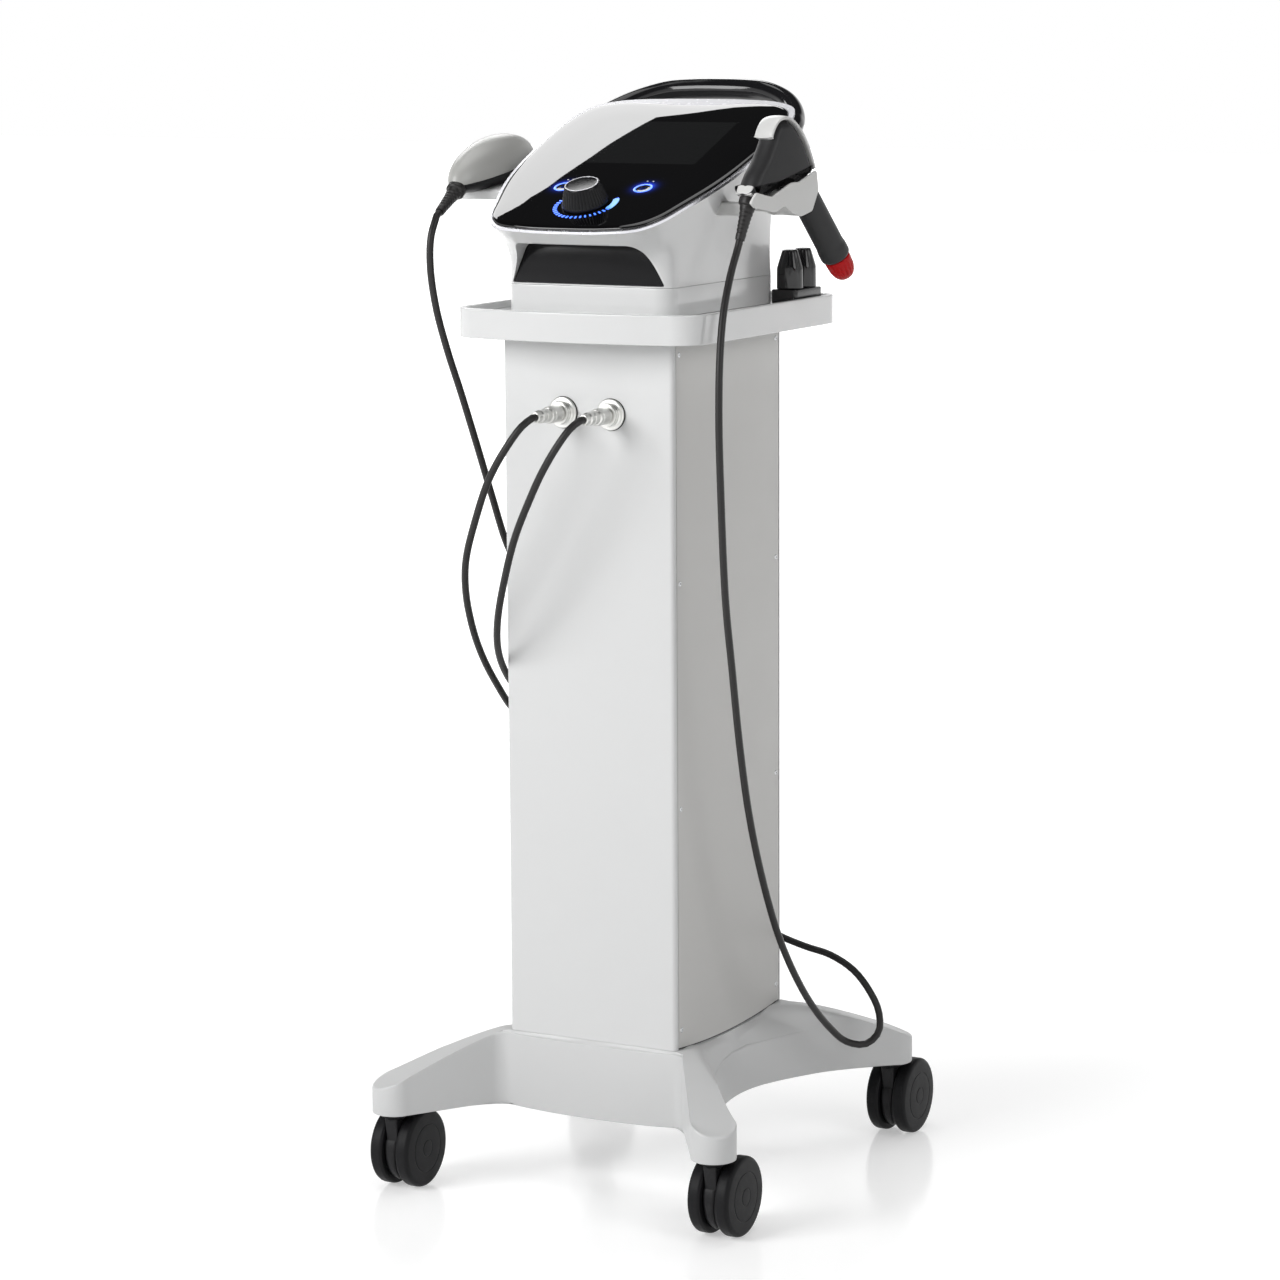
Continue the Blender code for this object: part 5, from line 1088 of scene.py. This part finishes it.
def make_spares():
    """A low rack with two spare heads, each with four shallow flats round its side."""
    floor = TRAY_FLOOR + GAP
    (x, y), (wide, long, tall) = RACK_AT, RACK_SIZE
    top = floor + tall
    plan = soft_rectangle(x - wide / 2, x + wide / 2, y - long / 2, y + long / 2, 0.005, 8)
    levels = rounded([(0.01, floor), (0.0, floor), (0.0, top), (0.01, top)], 0.002, 5)
    peg = rounded([(0.0, top + 0.006), (0.007, top + 0.006), (0.007, top - 0.002), (0.0, top - 0.002)],
                  0.0008)
    seats = {name: np.array([x, y + way * SPARE_PITCH / 2, 0.0]) for name, way in ENDS}
    pegs = [turn(peg, (seat, np.eye(3)), 32) for seat in seats.values()]
    dress(gathered("rack_plate", [pulled(plan, levels)] + pegs), UNIT, "black_moulding", "black_gloss",
          "spare_rack")
    r, h = 0.0168, 0.049
    profile = rounded([(0.0, h), (0.55 * r, h), (0.64 * r, h - 0.003), (0.84 * r, h - 0.014), (r, h - 0.023),
                       (r, 0.0012), (r - 0.0008, GAP), (0.0073, GAP), (0.0073, 0.0067), (0.0, 0.0067)],
                      0.002, 4)
    flats = np.where((profile[:, 1] > 0.002) & (profile[:, 0] > 0.010), 0.0009, 0.0)
    for name, seat in seats.items():
        head = lathe(f"spare_cap_{name}", profile, (seat + (0.0, 0.0, top), np.eye(3)), 96, (8, flats, 0.8))
        dress(head, f"spare_head_{name}", "black_gloss", "black_gloss", f"spare_head_{name}")


# Left handpiece

ROUND_TAIL = ((-0.205, -0.1015, 1.242), (0.0, -0.85, -0.53))


def round_frame():
    """The dome's frame: its middle, with the nose pitched up."""
    c, s = cos(ROUND_PITCH), sin(ROUND_PITCH)
    return ROUND_CENTRE, np.array([[1, 0, 0], [0, c, s], [0, -s, c]], float)


def egg(heights, reach, grow=0.0, sides=96):
    """Level ovals of an egg: half sizes fall off with height as on an ellipsoid, wider towards the tail."""
    heights = np.asarray(heights, float)
    share = np.sqrt(np.clip(1 - (heights / reach) ** 2, 0, 1))[:, None]
    angle = np.arange(sides) * tau / sides
    x = (0.034 + grow) * share * np.cos(angle) * (1 + 0.10 * np.sin(angle))
    y = (0.092 + grow) * share * np.sin(angle)
    return put(round_frame(), np.stack([x, y, np.repeat(heights[:, None], sides, 1)], -1))


def ribbed_relief(name, start, way):
    """A tapered strain relief with ring grooves along its boot."""
    t = np.linspace(0.011, 0.052, 60)
    taper = np.interp(t, (0.011, 0.0234, 0.052), (0.0095, 0.0078, 0.0058))
    groove = np.where((t > 0.015) & (t < 0.045), 0.00055 * (np.cos((t - 0.015) * tau / 0.005) - 1) / 2, 0.0)
    head = rounded([(0.0, GAP), (0.0120, GAP), (0.0120, 0.009), (0.0096, 0.0105)], 0.0012, 4)
    profile = np.vstack([head, np.column_stack([taper + groove, t]), [(0.0, 0.052)]])
    return lathe(name, profile, frame_along(start, way), 48)


def make_round_handpiece():
    """The dome and its dark underside, the strain relief and the shelf under it."""
    body = "round_handpiece"
    crown, belly, flat = 0.040, 0.022, 0.014
    up = crown * np.sin(np.linspace(0.004, pi / 2, 40))
    down = np.linspace(-flat, -GAP, 12)
    pocket = [(0.0, 0.05), (0.0123, 0.05), (0.0123, 0.0), (0.0, 0.0)]
    for name, grid, slot, look, node in (
            ("dome_shell", egg(up, crown), "grey_moulding", "grey_satin", "round_handpiece_crown"),
            ("dome_underside", egg(down, belly, -0.0006), "black_moulding", "black_satin",
             "round_handpiece_belly")):
        shell = skin(name, grid, crease=50)
        carve(shell, lathe(f"{name}_tool", pocket, frame_along(*ROUND_TAIL), 48), crease=50)
        dress(shell, body, slot, look, node)
    relief = ribbed_relief("dome_relief", *ROUND_TAIL)
    dress(relief, body, "cable_jacket", "cable", "round_handpiece_relief")
    inward, outward, front, rear = 0.105, -0.028, -0.050, 0.034
    outline = rounded([(inward, front), (inward, rear), (outward, rear), (outward, front)],
                      np.array([0.001, 0.001, 0.014, 0.014]), 8, True)
    origin, axes = round_frame()
    half = 0.0065
    shelf = skin("dome_shelf", plate(outline, half, 0.003, (origin + axes[2] * (-flat - GAP - half), axes)))
    dress(shelf, UNIT, "white_moulding", "white_gloss", "holder_left")


# Right handpiece

def pistol_frame(out=0.0):
    """The handpiece's plane: X along it, Y up, Z out towards the viewer's right."""
    return PISTOL_ORIGIN + ASIDE * out, np.stack([ALONG, np.array([0.0, 0.0, 1.0]), ASIDE])


def in_pistol(s, z):
    """A point in the handpiece's middle plane."""
    return PISTOL_ORIGIN + ALONG * s + np.array([0.0, 0.0, z])


PISTOL_RISE = 1.1301
PISTOL_BACK = [(-0.0940, 0.1099), (-0.0826, 0.1330), (-0.0668, 0.1545), (-0.0570, 0.1720), (-0.0510, 0.1860),
               (-0.0420, 0.1955), (-0.0270, 0.1972), (-0.0110, 0.1870), (0.0025, 0.1690), (0.0120, 0.1500),
               (0.0180, 0.1340)]
PISTOL_UNDER = [(-0.0680, 0.1009), (-0.0460, 0.1129), (-0.0270, 0.1169), (-0.0152, 0.1080)]
CLIP_OUTLINE = [(-0.1030, 0.1010), (-0.0928, 0.1131), (-0.0657, 0.1070), (-0.0316, 0.1227),
                (-0.0184, 0.1229), (0.0115, 0.1362), (0.0150, 0.1120), (0.0038, 0.0874), (-0.0162, 0.0814),
                (-0.0339, 0.0874), (-0.0449, 0.0954), (-0.0601, 0.0885), (-0.0949, 0.0945)]
CLIP_SEAT = [(-0.0165, 0.1064), (-0.0275, 0.1152), (-0.0455, 0.1114), (-0.0640, 0.1014), (-0.0640, 0.0893),
             (-0.0601, 0.0888), (-0.0449, 0.0957), (-0.0339, 0.0877), (-0.0165, 0.0818)]
STRAP_FROM = -0.056
CHEEK_OUT = 0.0214


def grip_outline():
    """The grip's outline: its back from the cable's end over the top to the barrel, then its underside."""
    lift = np.array([0.0, PISTOL_RISE])
    return through(PISTOL_BACK, 90) + lift, through(PISTOL_UNDER[::-1], 36) + lift


def cushion(outline, reach, half, placed, steps=14):
    """Grid of a flat outline with a full round edge: drawn in by a reach and swelling to a half thickness
    along quarter ellipses."""
    phi = np.linspace(0.06, pi / 2, steps)
    levels = [(reach * (1 - np.sin(v)), -half * np.cos(v)) for v in phi]
    levels += [(i, -h) for i, h in levels[-2::-1]]
    return pulled(outline, levels, placed)


def end_ring():
    """A short pale ring at the cable's end of the grip."""
    back, under = grip_outline()
    ring = rounded(np.vstack([back[0], back[6], under[-4], under[-1]]), 0.002, 4, True)
    return cushion(ring, 0.0018, 0.0128, pistol_frame(), 6)


def strap_grid():
    """The pale strap: the back line from a start near the top, between a line just inside the grip's edge
    and one outside it, with round edges."""
    back, _ = grip_outline()
    way = np.gradient(back, axis=0)
    normal = np.stack([-way[:, 1], way[:, 0]], -1) / np.linalg.norm(way, axis=1)[:, None]
    on = slice(int(np.argmax(back[:, 0] > STRAP_FROM)), -1)
    inner, outer = (back - normal * 0.0016)[on], (back + normal * 0.0046)[on]
    return cushion(np.vstack([inner, outer[::-1]]), 0.0022, 0.0145, pistol_frame(), 10)


def make_pistol_handpiece():
    """The grip and its pale end ring and strap, the barrel with its end flare, the ribbed red cap and the
    strain relief."""
    body = "pistol_handpiece"
    grip = cushion(np.vstack(grip_outline()), 0.0115, 0.016, pistol_frame())
    dress(skin("grip_shell", grip, crease=50), body, "dark_moulding", "dark_satin", "pistol_body")
    dress(skin("grip_end_ring", end_ring(), crease=50), body, "grey_moulding", "pale_satin")
    dress(skin("grip_strap", strap_grid(), crease=50), body, "grey_moulding", "pale_satin", "pistol_spine")
    ahead = ALONG * BARREL_DIR[0] + np.array([0, 0, BARREL_DIR[1]])
    axis = frame_along(in_pistol(*BARREL_ROOT), ahead, ASIDE)
    n = 0.116
    barrel = rounded([(0.0, GAP), (0.0175, GAP), (0.0175, n - 0.020), (0.0185, n - 0.014),
                      (0.0185, n - 0.003), (0.0160, n), (0.0, n)], 0.003, 6)
    dress(lathe("barrel_shell", barrel, axis), body, "dark_moulding", "dark_satin", "pistol_barrel")
    s = n + GAP
    cap = rounded([(0.0, s), (0.0163, s), (0.0165, s + 0.004), (0.0158, s + 0.016), (0.0130, s + 0.025),
                   (0.0085, s + 0.030), (0.0, s + 0.030)], 0.003, 6)
    ribs = np.where((cap[:, 1] > s + 0.006) & (cap[:, 1] < s + 0.028), 0.0011, 0.0)
    dress(lathe("red_cap", cap, axis, 144, (18, ribs, 0.7)), body, "red_moulding", "red", "pistol_head")
    lower = (np.array(PISTOL_BACK[0]) + np.array(PISTOL_UNDER[0])) / 2 + (0.0, PISTOL_RISE)
    relief = ribbed_relief("grip_relief", in_pistol(*lower), ALONG * -0.33 + np.array([0, 0, -0.944]))
    dress(relief, body, "cable_jacket", "cable", "pistol_relief")
    make_clip()


def make_clip():
    """The clip that holds the handpiece: two angular cheeks, the seat between them and an arm to the
    housing."""
    grids = []
    for points, radius, steps, half, edge, out, rounds in (
            (CLIP_OUTLINE, 0.0028, 5, 0.0021, 0.0010, CHEEK_OUT, 4),
            (CLIP_OUTLINE[2:-1], 0.0028, 5, 0.0021, 0.0010, -CHEEK_OUT, 4),
            (CLIP_SEAT, 0.002, 4, 0.0195, 0.0002, 0.0, 2)):
        outline = rounded(np.array(points) + (0.0, PISTOL_RISE), radius, steps, True)
        grids.append(plate(outline, half, edge, pistol_frame(out), rounds))
    arm = soft_rectangle(0.092, 0.171, -0.060, -0.036, 0.004, 6)
    grids.append(plate(arm, 0.008, 0.0025, (np.array([0.0, 0.0, PISTOL_RISE + 0.0909]), np.eye(3)), 4))
    dress(gathered("clip_shell", grids), UNIT, "grey_moulding", "pale_satin", "holder_right")


# Stage

FLOOR_HALF, FLOOR_DROP = 30.0, 0.0006
SENSOR_MM = 36.0
FOCAL_PX, FRAME_PX = 3985.5, 1280
AZIMUTH, ELEVATION, ROLL = radians(28.51), radians(9.237), radians(-0.34)
LOOK_AT, LOOK_FROM = (-0.0082, 0.0, 0.6763), 5.0024


def make_stage():
    """A pale floor, soft lamps and a camera at the photograph's angle."""
    scene = bpy.context.scene
    scene.view_settings.view_transform = "Standard"
    floor = bpy.data.meshes.new("floor")
    corners = [(FLOOR_HALF * x, FLOOR_HALF * y, 0) for x, y in ((-1, -1), (1, -1), (1, 1), (-1, 1))]
    floor.from_pydata(corners, [], [(0, 1, 2, 3)])
    ground = bpy.data.objects.new("floor", floor)
    ground.location.z = -FLOOR_DROP
    scene.collection.objects.link(ground)
    floor.materials.append(floor_finish())
    studio_world(scene)
    lamp("left_softbox", (-2.2, -4.2, 3.0), (0, 0, 0.9), (2.6, 2.6), 185)
    lamp("right_softbox", (4.2, -1.2, 3.0), (0, 0, 0.8), (2.4, 2.4), 50)
    lamp("top_softbox", (0.0, 0.4, 4.6), (0, 0, 0.6), (3.0, 3.0), 55)
    rear_panel()
    photo_camera(scene)


def photo_camera(scene):
    """A camera that looks from the photograph's direction, turned a little about its own axis."""
    camera = bpy.data.cameras.new("camera")
    camera.sensor_width = SENSOR_MM
    camera.lens = FOCAL_PX * SENSOR_MM / FRAME_PX
    camera.clip_end = 100
    eye = bpy.data.objects.new("camera", camera)
    scene.collection.objects.link(eye)
    behind = np.array([sin(AZIMUTH) * cos(ELEVATION), -cos(AZIMUTH) * cos(ELEVATION), sin(ELEVATION)])
    right = np.array([cos(AZIMUTH), sin(AZIMUTH), 0.0])
    up = np.cross(behind, right)
    right, up = right * cos(ROLL) + up * sin(ROLL), -right * sin(ROLL) + up * cos(ROLL)
    eye.matrix_world = placement(np.array(LOOK_AT) + SHIFT + behind * LOOK_FROM, (right, up, behind))
    scene.camera = eye


def placement(origin, axes):
    """The matrix of an object at a point with the given axes."""
    place = np.eye(4)
    place[:3, :3] = np.stack(axes, 1)
    place[:3, 3] = origin
    return Matrix(place.tolist())


def rear_panel():
    """A bright panel behind and to the left. Only its reflection counts: its upper edge lies where the view
    of the glass, turned back by the glass, leaves the pale crescent along its left and rear edge."""
    way = unit_vector((-0.471, 0.513, 0.718))
    level = unit_vector(np.cross((0.0, 0.0, 1.0), way))
    rise = np.cross(way, level)
    across = unit_vector(level + 0.0964 * rise)
    down = -np.cross(way, across)
    edge = np.array([0.0, -0.030, 1.270]) + SHIFT + way * 2.5 + level * -0.04 + rise * -0.308
    centre = edge + down * 0.45
    panel = lamp("rear_panel", centre, centre - way, (1.7, 0.9), 21, across)
    panel.visible_diffuse = False


def lamp(name, at, target, size, power, across=(1, 0.1, 0)):
    """A soft rectangular lamp that faces a point."""
    light = bpy.data.lights.new(name, "AREA")
    light.shape = "RECTANGLE"
    light.size, light.size_y = size
    light.energy = power
    obj = bpy.data.objects.new(name, light)
    bpy.context.scene.collection.objects.link(obj)
    obj.matrix_world = placement(*frame_along(at, np.subtract(at, target), across))
    obj.visible_camera = False
    return obj


def plainly_seen(tree):
    """1 for a ray from the camera, off a gloss or through a clear body, and 0 for any other."""
    path = tree.nodes.new("ShaderNodeLightPath").outputs
    seen = path["Is Camera Ray"]
    for kind in ("Is Glossy Ray", "Is Transmission Ray"):
        seen = reckoned(tree, "MAXIMUM", seen, path[kind])
    return seen


def floor_finish():
    """A pale sheet with a soft sheen. Seen by the camera or in a reflection it also shines a little, more
    and more with distance from the unit, so that it runs out into plain white and keeps the shadows."""
    made = finish("studio_floor", (0.90, 0.90, 0.90), 0.16, grain=(40.0, 0.002), mottle=(0.4, 0.004),
                  span=0.02)
    tree = made.node_tree
    reach = added(tree, "VectorMath", "Value", {0: where(tree)}, operation="LENGTH")
    glow = added(tree, "MapRange", "Result", {
        "Value": reach, "From Min": 0.5, "From Max": 2.2, "To Min": 0.40, "To Max": 1.0},
        interpolation_type="SMOOTHSTEP")
    feed(tree, tree.nodes["Principled BSDF"], {
        "Emission Color": (1.0, 1.0, 1.0, 1.0),
        "Emission Strength": reckoned(tree, "MULTIPLY", plainly_seen(tree), glow)})
    return made


def studio_world(scene):
    """A white studio wall all round that darkens overhead and lights matt faces a little less."""
    world = bpy.data.worlds.new("studio")
    scene.world = world
    world.use_nodes = True
    tree = world.node_tree
    z = added(tree, "SeparateXYZ", "Z", {"Vector": where(tree, "Generated")})
    ramp = added(tree, "MapRange", "Result", {
        "Value": z, "From Min": 0.25, "From Max": 0.50, "To Min": 1.0, "To Max": 0.03},
        interpolation_type="SMOOTHSTEP")
    share = added(tree, "MapRange", "Result", {"Value": plainly_seen(tree), "To Min": 0.70, "To Max": 1.0})
    feed(tree, tree.nodes["Background"], {
        "Strength": reckoned(tree, "MULTIPLY", ramp, share), "Color": (1.0, 1.0, 1.0, 1.0)})


# Operators, in the order in which they run

class THERAPY_OT_stage(bpy.types.Operator):
    """Floor, lamps, world and camera"""
    bl_idname = "therapy.stage"
    bl_label = "Stage"

    def execute(self, context):
        make_stage()
        return {"FINISHED"}


class THERAPY_OT_sockets(bpy.types.Operator):
    """Sockets, gaskets and plugs"""
    bl_idname = "therapy.sockets"
    bl_label = "Sockets"

    def execute(self, context):
        make_sockets()
        return {"FINISHED"}


class THERAPY_OT_cords(bpy.types.Operator):
    """The two free cables"""
    bl_idname = "therapy.cords"
    bl_label = "Cables"

    def execute(self, context):
        make_cords(context.scene.unit_sizes)
        return {"FINISHED"}


class THERAPY_OT_casters(bpy.types.Operator):
    """Wheels, hoods and axles"""
    bl_idname = "therapy.casters"
    bl_label = "Casters"

    def execute(self, context):
        make_casters(context.scene.unit_sizes)
        return {"FINISHED"}


class THERAPY_OT_base(bpy.types.Operator):
    """The four-legged casting"""
    bl_idname = "therapy.base"
    bl_label = "Base casting"

    def execute(self, context):
        make_base(context.scene.unit_sizes)
        return {"FINISHED"}


class THERAPY_OT_cabinet(bpy.types.Operator):
    """Sheets, side panels, screws and insides"""
    bl_idname = "therapy.cabinet"
    bl_label = "Cabinet"

    def execute(self, context):
        make_cabinet(context.scene.unit_sizes)
        return {"FINISHED"}


class THERAPY_OT_tray(bpy.types.Operator):
    """The accessory tray"""
    bl_idname = "therapy.tray"
    bl_label = "Tray"

    def execute(self, context):
        make_tray(context.scene.unit_sizes)
        return {"FINISHED"}


class THERAPY_OT_console(bpy.types.Operator):
    """Plinth, housing and recess"""
    bl_idname = "therapy.console"
    bl_label = "Console"

    def execute(self, context):
        make_console(context.scene.unit_sizes)
        return {"FINISHED"}


class THERAPY_OT_fascia(bpy.types.Operator):
    """Silver rim and black glass"""
    bl_idname = "therapy.fascia"
    bl_label = "Fascia"

    def execute(self, context):
        make_fascia()
        return {"FINISHED"}


class THERAPY_OT_controls(bpy.types.Operator):
    """Buttons, dial and lit marks"""
    bl_idname = "therapy.controls"
    bl_label = "Controls"

    def execute(self, context):
        make_controls(context.scene.unit_sizes)
        return {"FINISHED"}


class THERAPY_OT_handle(bpy.types.Operator):
    """The arched grip"""
    bl_idname = "therapy.handle"
    bl_label = "Carry handle"

    def execute(self, context):
        make_handle()
        return {"FINISHED"}


class THERAPY_OT_spares(bpy.types.Operator):
    """Rack and two spare heads"""
    bl_idname = "therapy.spares"
    bl_label = "Spare heads"

    def execute(self, context):
        make_spares()
        return {"FINISHED"}


class THERAPY_OT_round_handpiece(bpy.types.Operator):
    """Dome, underside, relief and shelf"""
    bl_idname = "therapy.round_handpiece"
    bl_label = "Round handpiece"

    def execute(self, context):
        make_round_handpiece()
        return {"FINISHED"}


class THERAPY_OT_pistol_handpiece(bpy.types.Operator):
    """Grip, barrel, cap, relief and clip"""
    bl_idname = "therapy.pistol_handpiece"
    bl_label = "Pistol handpiece"

    def execute(self, context):
        make_pistol_handpiece()
        return {"FINISHED"}


STEPS = [THERAPY_OT_stage, THERAPY_OT_sockets, THERAPY_OT_cords, THERAPY_OT_casters,
         THERAPY_OT_base, THERAPY_OT_cabinet, THERAPY_OT_tray, THERAPY_OT_console,
         THERAPY_OT_fascia, THERAPY_OT_controls, THERAPY_OT_handle, THERAPY_OT_spares,
         THERAPY_OT_round_handpiece, THERAPY_OT_pistol_handpiece]


class THERAPY_PT_pieces(bpy.types.Panel):
    """Lists the steps that make the unit's surfaces."""
    bl_idname = "THERAPY_PT_pieces"
    bl_label = "Therapy unit"
    bl_space_type = "VIEW_3D"
    bl_region_type = "UI"
    bl_category = "Therapy"

    def draw(self, context):
        for step in STEPS:
            self.layout.operator(step.bl_idname)


CLASSES = [UnitSizes, UnitColours] + STEPS + [THERAPY_PT_pieces]


def register():
    for kind in CLASSES:
        bpy.utils.register_class(kind)
    bpy.types.Scene.unit_sizes = PointerProperty(type=UnitSizes)
    bpy.types.Scene.unit_colours = PointerProperty(type=UnitColours)


def unregister():
    del bpy.types.Scene.unit_colours
    del bpy.types.Scene.unit_sizes
    for kind in reversed(CLASSES):
        bpy.utils.unregister_class(kind)


def main():
    register()
    bpy.ops.therapy.stage()
    bpy.ops.therapy.sockets()
    bpy.ops.therapy.cords()
    bpy.ops.therapy.casters()
    bpy.ops.therapy.base()
    bpy.ops.therapy.cabinet()
    bpy.ops.therapy.tray()
    bpy.ops.therapy.console()
    bpy.ops.therapy.fascia()
    bpy.ops.therapy.controls()
    bpy.ops.therapy.handle()
    bpy.ops.therapy.spares()
    bpy.ops.therapy.round_handpiece()
    bpy.ops.therapy.pistol_handpiece()


if __name__ == "__main__":
    main()
